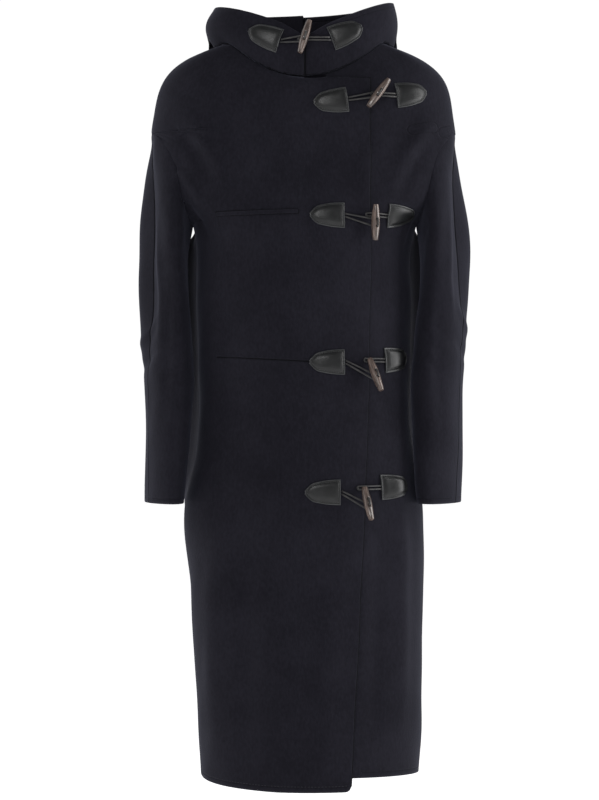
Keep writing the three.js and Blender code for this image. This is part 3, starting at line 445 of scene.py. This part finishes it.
def subdivided(name, cage, levels, passes=3):
    mesh = bpy.data.meshes.new(name)
    cage.to_mesh(mesh)
    cage.free()
    obj = object_of(name, mesh)
    wanted = points_of(mesh)
    modifier = obj.modifiers.new("finer", "SUBSURF")
    modifier.levels = modifier.render_levels = min(levels, 2)
    for _ in range(passes):
        trial = evaluated_mesh(obj)
        missed = wanted - points_of(trial)[: len(wanted)]
        set_points(mesh, points_of(mesh) + missed)
        bpy.data.meshes.remove(trial)
    modifier.levels = modifier.render_levels = levels
    fine = evaluated_mesh(obj)
    fine.name = name
    obj.modifiers.clear()
    obj.data = fine
    bpy.data.meshes.remove(mesh)
    return obj


# %% [markdown]
# ## Rounded edges
# The cloth is about 3 mm thick and its edges are turned in and felled, so they are round. Each
# point of the rim is drawn in by how far it lies from the middle of the cloth's thickness. The
# solids leave a narrow gap at each seam, so a sewn rim is also drawn to the panel that it meets.

# %% Round the rim and measure from it
EDGE_ROUND = 0.0012
EDGE_REACH = 0.03
SEAM_WIDEST = 0.0025
SEAM_OVERLAP = 0.0003


def wall_facts(mesh):
    """Which points lie on the outer sheet, inner sheet and rim, and every face's normal."""
    count = len(mesh.vertices)
    on = np.zeros((3, count), bool)
    pull = np.zeros((count, 3))
    for face in mesh.polygons:
        ring = list(face.vertices)
        on[face.material_index, ring] = True
        if face.material_index == RIM:
            pull[ring] += np.array(face.normal)
    length = np.linalg.norm(pull, axis=1, keepdims=True)
    return on, pull / np.maximum(length, 1e-9)


def tree_of(points):
    tree = KDTree(len(points))
    for i, point in enumerate(points):
        tree.insert(point, i)
    tree.balance()
    return tree


def drawn_shut(point, beside):
    """How far a point of the rim moves to meet the panel that it is sewn to."""
    found = beside.find_nearest(point, SEAM_WIDEST)
    if found[0] is None or found[3] < WELD:
        return np.zeros(3)
    gap = np.array(found[0]) - point
    return gap * (0.5 + SEAM_OVERLAP / found[3])


def round_rim(obj, radius, beside=None):
    """Rounds the rim, draws it to the panel beside it, and gives each point's distance from it."""
    mesh = obj.data
    on, pull = wall_facts(mesh)
    points = points_of(mesh)
    outer_rim = tree_of(points[on[RIM] & on[OUTER]])
    inner_rim = tree_of(points[on[RIM] & on[INNER]])
    moved = points.copy()
    for i in np.flatnonzero(on[RIM]):
        to_outer = outer_rim.find(points[i])[2]
        to_inner = inner_rim.find(points[i])[2]
        across = 2 * to_outer / max(to_outer + to_inner, 1e-9) - 1
        moved[i] -= pull[i] * radius * (1 - math.sqrt(max(0.0, 1 - across * across)))
        if beside is not None:
            moved[i] += drawn_shut(points[i], beside)
    set_points(mesh, moved)
    rim = tree_of(points[on[RIM]])
    away = np.array([0.0 if on[RIM][i] else rim.find(p)[2] for i, p in enumerate(points)])
    return np.minimum(away, EDGE_REACH), on


def give(mesh, name, values):
    """Stores a number for each point, for the finishes to read."""
    mesh.attributes.new(name, "FLOAT", "POINT").data.foreach_set("value", values.astype(np.float32))


# %% Finish a piece
def dress(obj, finish, replaced=None):
    """Gives a piece its finish and its ride, and lets it stand for a CAD part."""
    mesh = obj.data
    mesh.materials.clear()
    mesh.materials.append(finish)
    mesh.polygons.foreach_set("material_index", [0] * len(mesh.polygons))
    mesh.polygons.foreach_set("use_smooth", [True] * len(mesh.polygons))
    mesh.update()
    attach(obj, "root")
    if replaced:
        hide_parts(replaced)
    return obj


# %% [markdown]
# ## Folds
# Thick wool hangs in few, soft folds. They are laid over the whole coat at once, as a field that
# moves every piece near a fold by the same amount, so that seams stay shut and the tabs stay on
# their cloth. Each row below is one fold, in millimetres: where it starts and ends as seen from one
# side, how far it stands out (or sinks in, if negative), its half width, and how far it bows
# sideways. One strength scales how far all of them stand out.

# %% Name each fold
VIEWS = {
    "front": (Vector((0, 1, 0)), 0),
    "back": (Vector((0, -1, 0)), 0),
    "right": (Vector((1, 0, 0)), 1),
    "left": (Vector((-1, 0, 0)), 1),
}
FOLDS = [
    dict(seen="front", start=(-215, -105), end=(-142, -222), rise=-2.6, half=11, bow=6),
    dict(seen="front", start=(-190, -92), end=(-112, -240), rise=2.2, half=13, bow=8),
    dict(seen="front", start=(-203, -185), end=(-150, -262), rise=2.4, half=9, bow=4),
    dict(seen="front", start=(-196, -232), end=(-146, -300), rise=-2.2, half=9, bow=3),
    dict(seen="front", start=(196, -150), end=(150, -236), rise=-2.4, half=10, bow=-5),
    dict(seen="front", start=(204, -112), end=(128, -230), rise=2.0, half=12, bow=-7),
    dict(seen="front", start=(186, -226), end=(150, -318), rise=2.0, half=9, bow=-3),
    dict(seen="front", start=(-140, -330), end=(-128, -640), rise=-2.2, half=20, bow=8),
    dict(seen="front", start=(-72, -300), end=(-88, -560), rise=1.6, half=26, bow=-6),
    dict(seen="front", start=(-20, -520), end=(-8, -900), rise=1.4, half=30, bow=6),
    dict(seen="front", start=(-130, -700), end=(-138, -1120), rise=3.0, half=24, bow=-8),
    dict(seen="front", start=(-92, -760), end=(-96, -1130), rise=-2.4, half=20, bow=6),
    dict(seen="front", start=(46, -850), end=(30, -1140), rise=1.8, half=22, bow=-4),
    dict(seen="front", start=(112, -720), end=(104, -1100), rise=-2.6, half=17, bow=5),
    dict(seen="front", start=(146, -640), end=(150, -1080), rise=3.2, half=18, bow=4),
    dict(seen="front", start=(96, -150), end=(92, -262), rise=1.6, half=11, bow=2),
    dict(seen="front", start=(-232, -260), end=(-226, -470), rise=2.2, half=10, bow=3),
    dict(seen="front", start=(-205, -330), end=(-214, -600), rise=-2.0, half=11, bow=-3),
    dict(seen="front", start=(-188, -452), end=(-232, -486), rise=1.8, half=7, bow=2),
    dict(seen="front", start=(-184, -484), end=(-224, -524), rise=-1.6, half=7, bow=2),
    dict(seen="front", start=(228, -240), end=(230, -440), rise=2.2, half=10, bow=-3),
    dict(seen="front", start=(200, -300), end=(212, -620), rise=-1.9, half=11, bow=4),
    dict(seen="front", start=(182, -430), end=(226, -470), rise=1.8, half=7, bow=-2),
    dict(seen="front", start=(180, -470), end=(216, -512), rise=-1.5, half=7, bow=-2),
    dict(seen="back", start=(-120, -270), end=(-98, -620), rise=2.6, half=22, bow=8),
    dict(seen="back", start=(-70, -300), end=(-62, -560), rise=-2.2, half=19, bow=-5),
    dict(seen="back", start=(-6, -260), end=(4, -760), rise=2.0, half=26, bow=5),
    dict(seen="back", start=(66, -300), end=(58, -640), rise=-2.4, half=21, bow=6),
    dict(seen="back", start=(118, -262), end=(104, -540), rise=2.8, half=20, bow=-7),
    dict(seen="back", start=(-140, -650), end=(-150, -1120), rise=3.4, half=24, bow=6),
    dict(seen="back", start=(-88, -700), end=(-96, -1130), rise=-3.0, half=22, bow=-7),
    dict(seen="back", start=(-34, -820), end=(-40, -1140), rise=2.4, half=20, bow=4),
    dict(seen="back", start=(30, -760), end=(36, -1130), rise=-2.2, half=24, bow=5),
    dict(seen="back", start=(96, -680), end=(108, -1130), rise=3.2, half=22, bow=-6),
    dict(seen="right", start=(60, -330), end=(48, -560), rise=2.4, half=13, bow=5),
    dict(seen="right", start=(-70, -420), end=(20, -470), rise=1.9, half=9, bow=-7),
    dict(seen="right", start=(-76, -470), end=(10, -505), rise=-1.7, half=9, bow=-6),
    dict(seen="left", start=(58, -320), end=(44, -540), rise=2.4, half=13, bow=4),
    dict(seen="left", start=(-68, -400), end=(22, -452), rise=1.9, half=9, bow=-7),
    dict(seen="left", start=(-74, -455), end=(12, -488), rise=-1.7, half=9, bow=-6),
    dict(seen="back", start=(-96, -30), end=(-52, -150), rise=-3.2, half=16, bow=8),
    dict(seen="back", start=(88, -24), end=(60, -140), rise=-2.8, half=15, bow=-8),
    dict(seen="back", start=(-24, 60), end=(-30, -120), rise=2.6, half=18, bow=4),
]
MM = 0.001
FOLD_STRENGTH = 1.6
FOLD_STEPS = 14
FOLD_DEPTH = 0.03
FOLD_SHORTEST = 6
FOLD_END = 0.8


# %% Build the fold field
def surface_of(names):
    """One search tree over several CAD parts."""
    points, faces = [], []
    for name in names:
        mesh = nodes[name].data
        start = len(points)
        points += [v.co.copy() for v in mesh.vertices]
        faces += [[start + i for i in face.vertices] for face in mesh.polygons]
    return BVHTree.FromPolygons(points, faces)


CLOTH_NODES = ["front_right", "front_left", "back", "hood_right", "hood_left"]
CLOTH_NODES += [f"sleeve_{side}_{part}" for side in SIDES for part in ("front", "back")]
cad_cloth = surface_of(CLOTH_NODES)


def seen_from(tree, view, across, up):
    """Where a line of sight from one side first meets the cloth."""
    look, column = VIEWS[view]
    start = Vector((0, 0, up))
    start[column] = across
    hit, normal, _, _ = tree.ray_cast(start - look, look)
    if hit is None:
        return None
    return hit, normal if normal.dot(look) < 0 else -normal


def fold_line(fold):
    start, end = Vector(fold["start"]), Vector(fold["end"])
    aside = (end - start).orthogonal().normalized() * fold["bow"]
    line = []
    for i in range(FOLD_STEPS + 1):
        share = i / FOLD_STEPS
        flat = (start.lerp(end, share) + aside * math.sin(math.pi * share)) * MM
        found = seen_from(cad_cloth, fold["seen"], flat.x, flat.y)
        if found:
            line.append((share, *found))
    return line


fold_lines = [(fold, fold_line(fold)) for fold in FOLDS]
print("folds laid:", sum(len(line) >= FOLD_SHORTEST for _, line in fold_lines), "of", len(FOLDS))


# %% Move points by the folds
WAVES = [
    dict(length=0.31, turn=0.4, rise=0.9, phase=0.3),
    dict(length=0.19, turn=1.3, rise=0.7, phase=2.1),
    dict(length=0.12, turn=2.2, rise=0.45, phase=4.0),
    dict(length=0.074, turn=0.9, rise=0.22, phase=1.2),
    dict(length=0.051, turn=2.7, rise=0.14, phase=5.1),
]


def settled(points):
    """Points moved by every fold and by slow waves in the cloth."""
    points = np.asarray(points, float)
    moved = points.copy()
    for fold, line in fold_lines:
        if len(line) < FOLD_SHORTEST:
            continue
        half = fold["half"] * MM
        best = np.full(len(points), np.inf)
        share = np.zeros(len(points))
        facing = np.zeros((len(points), 3))
        path = np.array([hit for _, hit, _ in line])
        low, high = path.min(0) - 3 * half, path.max(0) + 3 * half
        near = np.flatnonzero(((points > low - FOLD_DEPTH) & (points < high + FOLD_DEPTH)).all(1))
        for (at, hit, normal), (at_next, hit_next, _) in zip(line, line[1:]):
            run = np.array(hit_next - hit)
            gap = points[near] - np.array(hit)
            along = np.clip(gap @ run / max(run @ run, 1e-12), 0, 1)
            off = gap - along[:, None] * run
            deep = off @ np.array(normal)
            beyond = np.maximum(abs(deep) - FOLD_DEPTH, 0)
            wide = np.maximum((off * off).sum(1) - deep**2, 0) + beyond**2
            closer = wide < best[near]
            chosen = near[closer]
            best[chosen] = wide[closer]
            share[chosen] = (at + (at_next - at) * along)[closer]
            facing[chosen] = np.array(normal)
        rise = FOLD_STRENGTH * fold["rise"] * MM * np.sin(np.pi * share[near]) ** FOLD_END
        moved[near] += (rise * np.exp(-best[near] / half**2))[:, None] * facing[near]
    radial = points * (1, 1, 0)
    radial /= np.maximum(np.linalg.norm(radial, axis=1, keepdims=True), 0.03)
    for wave in WAVES:
        heading = np.array((math.cos(wave["turn"]), 0.6, math.sin(wave["turn"])))
        swell = np.sin(points @ heading * 2 * math.pi / wave["length"] + wave["phase"])
        moved += (wave["rise"] * MM * swell)[:, None] * radial
    return moved


# %% [markdown]
# ## Rows of stitches
# Hundreds of equal stitches that follow a line are a job for Geometry Nodes. A tree resamples the
# line by the stitch's pitch, sets one small rounded stitch on each point, turned along the line, and
# makes them real. The line itself is the edge of a piece, moved in over its surface.

# %% Build the stitch tree
STITCH_SEED = 11


def stitch_nodes(name, finish):
    """A Geometry Nodes tree that sews along a line."""
    group = bpy.data.node_groups.new(name, "GeometryNodeTree")
    faces = group.interface
    faces.new_socket(name="Line", in_out="INPUT", socket_type="NodeSocketGeometry")
    for size in ("Pitch", "Length", "Thickness"):
        faces.new_socket(name=size, in_out="INPUT", socket_type="NodeSocketFloat")
    faces.new_socket(name="Stitches", in_out="OUTPUT", socket_type="NodeSocketGeometry")
    nodes_of = Nodes(group)

    def given(size):
        return nodes_of.node("NodeGroupInput", output=size)

    line = nodes_of.node("GeometryNodeMeshToCurve", {}, {"Mesh": given("Line")})
    spaced = {"Curve": line, "Length": given("Pitch")}
    line = nodes_of.node("GeometryNodeResampleCurve", {"mode": "LENGTH"}, spaced)
    ball = {"Segments": 6, "Rings": 5, "Radius": 0.5}
    ball = nodes_of.node("GeometryNodeMeshUVSphere", {}, ball)
    along = nodes_of.node("GeometryNodeInputTangent")
    turn = nodes_of.node("FunctionNodeAlignRotationToVector", {"axis": "X"}, {"Vector": along})
    uneven = {2: 0.88, 3: 1.06, "Seed": STITCH_SEED}
    uneven = nodes_of.node("FunctionNodeRandomValue", {"data_type": "FLOAT"}, uneven, 1)
    thick = given("Thickness")
    size = {"X": given("Length") * uneven, "Y": thick, "Z": thick}
    size = nodes_of.node("ShaderNodeCombineXYZ", {}, size)
    sewn = {"Points": line, "Instance": ball, "Rotation": turn, "Scale": size}
    sewn = nodes_of.node("GeometryNodeInstanceOnPoints", {}, sewn)
    sewn = nodes_of.node("GeometryNodeRealizeInstances", {}, {"Geometry": sewn})
    sewn = nodes_of.node("GeometryNodeSetMaterial", {}, {"Geometry": sewn, "Material": finish})
    nodes_of.node("NodeGroupOutput", {}, {"Stitches": sewn})
    return group


def sew(name, lines, finish, pitch, length, thickness):
    """One mesh with all the stitches along some lines of points."""
    points, edges = [], []
    for line in lines:
        start = len(points)
        points += [tuple(point) for point in line]
        edges += [(start + i, start + i + 1) for i in range(len(line) - 1)]
    mesh = bpy.data.meshes.new(name)
    mesh.from_pydata(points, edges, [])
    row = object_of(name, mesh)
    modifier = row.modifiers.new("stitches", "NODES")
    group = stitch_nodes(name + "_nodes", finish)
    modifier.node_group = group
    sizes = {"Pitch": pitch, "Length": length, "Thickness": thickness}
    for item in group.interface.items_tree:
        if item.name in sizes:
            modifier[item.identifier] = sizes[item.name]
    fine = evaluated_mesh(row)
    row.modifiers.clear()
    row.data = fine
    bpy.data.meshes.remove(mesh)
    print(name, "rows:", len(lines), "faces:", len(fine.polygons))
    return row


# %% Find the line that a row of stitches follows
STITCH_PROUD = 0.0001
CLEAR_SHARE = 0.93


def edge_loop(mesh):
    """The points of the outer sheet's longest edge, in order along it."""
    sheets = {}
    for face in mesh.polygons:
        for key in face.edge_keys:
            sheets.setdefault(key, set()).add(face.material_index)
    beside = {}
    for (first, second), found in sheets.items():
        if found == {OUTER, RIM}:
            beside.setdefault(first, []).append(second)
            beside.setdefault(second, []).append(first)
    left = set(beside)
    chains = []
    for start in sorted(beside, key=lambda i: (len(beside[i]), i)):
        chain = [start] if start in left else []
        left.discard(start)
        while chain:
            ahead = [i for i in beside[chain[-1]] if i in left]
            if not ahead:
                break
            chain.append(ahead[0])
            left.discard(ahead[0])
        chains.append(chain)
    return max(chains, key=len)


def inset_lines(mesh, loop, inset, keep=None):
    """The edge's points moved in over the outer sheet, as lines broken where some are left out."""
    points = points_of(mesh)
    outer = [tuple(face.vertices) for face in mesh.polygons if face.material_index == OUTER]
    sheet = BVHTree.FromPolygons([Vector(point) for point in points], outer)
    rim = tree_of(points[loop])
    middle = points[loop].mean(0)
    edge = points[loop]
    heading = np.roll(edge, -2, 0) - np.roll(edge, 2, 0)
    facing = np.array([sheet.find_nearest(point)[1] for point in edge])
    inward = np.cross(facing, heading)
    inward /= np.maximum(np.linalg.norm(inward, axis=1, keepdims=True), 1e-9)
    if ((middle - edge) * inward).sum() < 0:
        inward = -inward
    lines = [[]]
    for at, (point, way) in enumerate(zip(edge, inward)):
        place, normal, _, _ = sheet.find_nearest(point + way * inset)
        clear = rim.find(place)[2] > CLEAR_SHARE * inset
        if clear and (keep is None or keep[loop[at]]):
            lines[-1].append(np.array(place + normal * STITCH_PROUD))
        elif lines[-1] and not clear:
            continue
        elif lines[-1]:
            lines.append([])
    return [line for line in lines if len(line) > 2]


# %% [markdown]
# ## The wool panels
# Each panel of the coat is a thin shell on its CAD form. It is made finer, its edges are rounded,
# and the folds are laid over it. Only a free edge, such as the hem or the front edge, shows the
# felled line beside it, so the distance from the edge is kept large at a sewn seam.

# %% Build the panels
CLOTH_LEVELS = 3
SEAM_NEAR = 0.006
FELL_FREE = 0.014
SEAM_SPREAD = 0.004
HEM_CORNER = 0.011


def area_of(mesh):
    """The area of a thin wall's outer face, as half of its whole surface."""
    return sum(face.area for face in mesh.polygons) / 2


def rounded_corner(points, radius):
    """Rounds the free corner of the right front's hem."""
    low = points[:, 2].min()
    near_hem = points[points[:, 2] < low + radius]
    ahead = points[:, 0] - (near_hem[:, 0].max() - radius)
    down = low + radius - points[:, 2]
    inside = np.flatnonzero((ahead > 0) & (down > 0))
    square = np.maximum(ahead[inside], down[inside])
    circle = np.hypot(ahead[inside], down[inside])
    kept = square / np.maximum(circle, 1e-9)
    moved = points.copy()
    moved[inside, 0] -= ahead[inside] * (1 - kept)
    moved[inside, 2] += down[inside] * (1 - kept)
    return moved


def outward_from(x, y):
    return lambda p: Vector((p.x - x, p.y - y, 0))


def middle_of(*names):
    low = Vector([min(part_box(n)[0][i] for n in names) for i in range(3)])
    high = Vector([max(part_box(n)[1][i] for n in names) for i in range(3)])
    return (low + high) / 2


panels = {}
for name in CLOTH_NODES:
    cage, crease = cage_of(name)
    if name.startswith("sleeve"):
        side = name.split("_")[1]
        centre = middle_of(f"sleeve_{side}_front", f"sleeve_{side}_back")
    else:
        centre = Vector((0, 0, 0))
    sheets_of(cage, crease, outward_from(centre.x, centre.y))
    panel = subdivided("wool_" + name, cage, CLOTH_LEVELS)
    if name == "front_right":
        set_points(panel.data, rounded_corner(points_of(panel.data), HEM_CORNER))
    others = surface_of([n for n in CLOTH_NODES if n != name])
    from_edge, on = round_rim(panel, EDGE_ROUND, others)
    points = points_of(panel.data)
    rim = np.flatnonzero(on[RIM])
    sewn = [i for i in rim if others.find_nearest(points[i], SEAM_NEAR)[0] is not None]
    from_seam = np.full(len(points), EDGE_REACH)
    if sewn:
        seam = tree_of(points[sewn])
        from_seam = np.array([min(seam.find(p)[2], EDGE_REACH) for p in points])
        shut = np.clip(1 - (from_seam - from_edge) / SEAM_SPREAD, 0, 1)
        from_edge = from_edge + shut * EDGE_REACH
    give(panel.data, "from_edge", from_edge)
    give(panel.data, "from_seam", from_seam)
    set_points(panel.data, settled(points))
    if name == "front_right":
        loop = edge_loop(panel.data)
        free = from_seam > FELL_FREE
        felled_lines = inset_lines(panel.data, loop, FELL_FROM_EDGE, free)
    finish = SLIT_WOOL if name == "front_right" else WOOL
    panels[name] = dress(panel, finish, name)
    print(name, "faces:", len(panel.data.polygons), "area:", round(area_of(panel.data), 4))

# %% [markdown]
# ## Leather tabs
# A tab is two layers of leather with padding between them, sewn all round close to the edge. The
# stitches pull the edge down into a groove, so the pad rises behind them like a small cushion. The
# same stitch tree also sews the free edge of the right front, in the wool's own thread.

# %% Build the tabs
TAB_LEVELS = 3
TAB_ROUND = 0.0005
PAD_RISE = 0.0007
PAD_FROM = 0.0024
PAD_FULL = 0.009
GROOVE_DEPTH = 0.0005
GROOVE_HALF = 0.0008
TAB_PITCH = 0.0036
TAB_STITCH = 0.0027
TAB_THREAD_THICK = 0.0008
tabs = {}
tab_lines = []


def smooth_share(values, low, high):
    share = np.clip((values - low) / (high - low), 0, 1)
    return share * share * (3 - 2 * share)


def normals_of(mesh):
    found = np.empty(len(mesh.vertices) * 3)
    mesh.vertices.foreach_get("normal", found)
    return found.reshape(-1, 3)


for side in SIDES:
    for number in FASTENINGS:
        name = f"tab_{side}_{number}"
        cage, crease = cage_of(name)
        sheets_of(cage, crease, lambda p: Vector((0, -1, 0)))
        tab = subdivided("leather_" + name, cage, TAB_LEVELS)
        from_edge, on = round_rim(tab, TAB_ROUND)
        points, normals = points_of(tab.data), normals_of(tab.data)
        top = on[OUTER] & ~on[RIM]
        groove = GROOVE_DEPTH * np.exp(-(((from_edge - STITCH_FROM_EDGE) / GROOVE_HALF) ** 2))
        lift = np.where(top, PAD_RISE * smooth_share(from_edge, PAD_FROM, PAD_FULL) - groove, 0)
        set_points(tab.data, settled(points + normals * lift[:, None]))
        give(tab.data, "from_edge", from_edge)
        loop = edge_loop(tab.data)
        for line in inset_lines(tab.data, loop, STITCH_FROM_EDGE):
            tab_lines.append(line + line[:1])
        tabs[name] = dress(tab, TAB_LEATHER, name)
print("tabs:", len(tabs), "faces each:", len(tab.data.polygons))

# %% Sew the tabs and fell the right front's edge
tab_sewing = sew("thread_tabs", tab_lines, TAB_THREAD, TAB_PITCH, TAB_STITCH, TAB_THREAD_THICK)
dress(tab_sewing, TAB_THREAD)
FELL_PITCH = 0.0052
FELL_STITCH = 0.0036
FELL_THREAD_THICK = 0.0006
fell_sewing = sew(
    "thread_front_edge", felled_lines, WOOL_THREAD, FELL_PITCH, FELL_STITCH, FELL_THREAD_THICK
)
dress(fell_sewing, WOOL_THREAD)

# %% [markdown]
# ## Toggles
# The CAD toggle already has the long flats that the knife leaves. Its edges are only broken a
# little, and every point gets its place along and across its own toggle for the horn's streaks.

# %% Build the toggles
BROKEN_EDGE = 0.00045
BROKEN_STEPS = 2
BROKEN_ANGLE = math.radians(12)
FLAT_ANGLE = math.radians(1)
SHADED_SHARP = math.radians(24)
HORN_APART = 0.02
for number in FASTENINGS:
    name = f"toggle_{number}"
    cage, crease = cage_of(name)
    bmesh.ops.dissolve_limit(cage, angle_limit=FLAT_ANGLE, verts=cage.verts, edges=cage.edges)
    mesh = bpy.data.meshes.new("horn_" + name)
    cage.to_mesh(mesh)
    cage.free()
    toggle = object_of("horn_" + name, mesh)
    bevel = toggle.modifiers.new("broken edge", "BEVEL")
    bevel.width = BROKEN_EDGE
    bevel.segments = BROKEN_STEPS
    bevel.limit_method = "ANGLE"
    bevel.angle_limit = BROKEN_ANGLE
    fine = evaluated_mesh(toggle)
    toggle.modifiers.clear()
    toggle.data = fine
    points = points_of(fine)
    centre = points.mean(0)
    moved = settled([centre])[0] - centre
    axes = np.linalg.svd(points - centre, full_matrices=False)[2]
    own = (points - centre) @ axes.T
    own = own[:, [1, 2, 0]] + HORN_APART * number
    place = fine.attributes.new("own_place", "FLOAT_VECTOR", "POINT")
    place.data.foreach_set("vector", own.astype(np.float32).ravel())
    set_points(fine, points + moved)
    dress(toggle, HORN, name)
    toggle.data.set_sharp_from_angle(angle=SHADED_SHARP)
print("toggle faces:", len(toggle.data.polygons))

# %% [markdown]
# ## Cords and loops
# The cords are round leather thonging. Two subdivisions make the CAD's eight-sided tubes round.

# %% Build the cords and loops
CORD_LEVELS = 2
CORD_FROM_EDGE = 0.01
for kind in ("cord", "loop"):
    for number in FASTENINGS:
        name = f"{kind}_{number}"
        cage, crease = cage_of(name)
        strand = subdivided("leather_" + name, cage, CORD_LEVELS)
        set_points(strand.data, settled(points_of(strand.data)))
        give(strand.data, "from_edge", np.full(len(strand.data.vertices), CORD_FROM_EDGE))
        dress(strand, CORD_LEATHER, name)
print("cord faces:", len(strand.data.polygons))

# %% [markdown]
# ## The chest welt and what each panel was cut from
# The chest pocket closes with a narrow welt, a folded strip that is pressed flat. The shade along
# its two long edges is painted into its colour as two thin dark lines.

# %% Build the chest welt
WELT_LEVELS = 3
WELT_ROUND = 0.0004
# Moves the welt's distance from its edge inwards, which narrows its worn band and its band of
# painted shade.
WELT_WEAR_AND_SHADE_INSET = 0.001
cage, crease = cage_of("chest_welt")
sheets_of(cage, crease, lambda p: Vector((0, -1, 0)))
welt = subdivided("wool_chest_welt", cage, WELT_LEVELS)
from_edge, on = round_rim(welt, WELT_ROUND)
set_points(welt.data, settled(points_of(welt.data)))
give(welt.data, "from_edge", from_edge + WELT_WEAR_AND_SHADE_INSET)
give(welt.data, "from_seam", np.full(len(from_edge), EDGE_REACH))
dress(welt, WELT_WOOL, "chest_welt")
print("welt faces:", len(welt.data.polygons))

CUTS = {
    "front_right": dict(flat=(0.404, 1.326), area=0.405, on=("back",)),
    "front_left": dict(flat=(0.267, 1.324), area=0.263, on=("back",)),
    "back": dict(flat=(0.585, 1.312), area=0.618, on=("front_right", "front_left")),
    "sleeve_right_front": dict(flat=(0.17, 0.60), area=0.076, on=("front_right",)),
    "sleeve_right_back": dict(flat=(0.20, 0.60), area=0.104, on=("back",)),
    "sleeve_left_front": dict(flat=(0.17, 0.60), area=0.078, on=("front_left",)),
    "sleeve_left_back": dict(flat=(0.20, 0.60), area=0.104, on=("back",)),
    "hood_right": dict(flat=(0.36, 0.57), area=0.116, on=("front_right", "back")),
    "hood_left": dict(flat=(0.36, 0.57), area=0.116, on=("front_left", "back")),
}
for name, cut in CUTS.items():
    shown = round(area_of(panels[name].data), 4)
    print(name, "cut", cut["flat"], "of area", cut["area"], "shown", shown)

# %% [markdown]
# ## Studio
# The coat was lit by large soft lights at both sides and a white room behind, which leave bright
# rims on the shoulders, sleeves and hips and let the chest go dark. The world is brighter behind
# and at the sides than in front, and brightest straight behind. A pale flat floor lies below the
# hem, and it glows a little, so that it looks as white as the room behind it.

# %% Light the coat
WORLD_FRONT, WORLD_BEHIND = 0.52, 1.08
WORLD_TOP, WORLD_LEVEL = 0.45, 1.0
BEHIND_FROM, BEHIND_FULL = -0.7, 0.35
TOP_FROM, TOP_FULL = 0.35, 0.95
BACKDROP_GLOW = 0.2
BACKDROP_FROM, BACKDROP_FULL = 0.88, 0.95
world = bpy.data.worlds.new("studio")
bpy.context.scene.world = world
world.use_nodes = True
room = Nodes(world.node_tree)
heading = room.node("ShaderNodeTexCoord", output="Generated")
ahead = room.node("ShaderNodeSeparateXYZ", {}, {0: heading}, "Y")
height = room.node("ShaderNodeSeparateXYZ", {}, {0: heading}, "Z")
around = {0: ahead, 1: BEHIND_FROM, 2: BEHIND_FULL, 3: WORLD_FRONT, 4: WORLD_BEHIND}
around = room.node("ShaderNodeMapRange", {}, around)
above = {0: height, 1: TOP_FROM, 2: TOP_FULL, 3: WORLD_LEVEL, 4: WORLD_TOP}
above = room.node("ShaderNodeMapRange", {}, above)
backdrop = ahead.ramp(BACKDROP_FROM, BACKDROP_FULL) * BACKDROP_GLOW
glow = room.node("ShaderNodeBackground", {}, {"Strength": around * above + backdrop})
room.node("ShaderNodeOutputWorld", {}, {"Surface": glow})


def softbox(name, place, size, power, target=(0, 0, -0.55)):
    data = bpy.data.lights.new(name, "AREA")
    data.shape = "RECTANGLE"
    data.size, data.size_y = size
    data.energy = power
    lamp = bpy.data.objects.new(name, data)
    lamp.location = place
    lamp.rotation_euler = (Vector(target) - Vector(place)).to_track_quat("-Z", "Y").to_euler()
    bpy.context.scene.collection.objects.link(lamp)


softbox("right softbox", (-2.3, 0.3, 0.1), (0.9, 2.2), 14)
softbox("left softbox", (2.3, -0.5, -0.1), (0.9, 2.2), 36)
softbox("front softbox", (-0.5, -2.9, 0.9), (0.9, 0.7), 22, (0, 0, -0.5))

# %% Lay the floor
FLOOR_Z = -1.26
FLOOR_HALF = 14.0
FLOOR_GLOW = 0.55
floor_finish = Finish("pale_floor")
mottle = floor_finish.noise(floor_finish.place(), 3, 2)
floor_sockets = {
    "Base Color": floor_finish.blend(mottle, (0.90, 0.90, 0.90, 1), (0.93, 0.93, 0.93, 1)),
    "Roughness": 0.7,
    "Emission Color": (1, 1, 1, 1),
    "Emission Strength": FLOOR_GLOW,
}
floor_finish.close(mottle, 0.0001, floor_sockets)
sheet = bmesh.new()
bmesh.ops.create_circle(sheet, cap_ends=True, radius=FLOOR_HALF, segments=96)
mesh = bpy.data.meshes.new("floor")
sheet.to_mesh(mesh)
sheet.free()
mesh.transform(Matrix.Translation((0, 0, FLOOR_Z)))
mesh.materials.append(floor_finish.material)
floor = object_of("floor", mesh)
bpy.context.scene.view_settings.view_transform = "Standard"
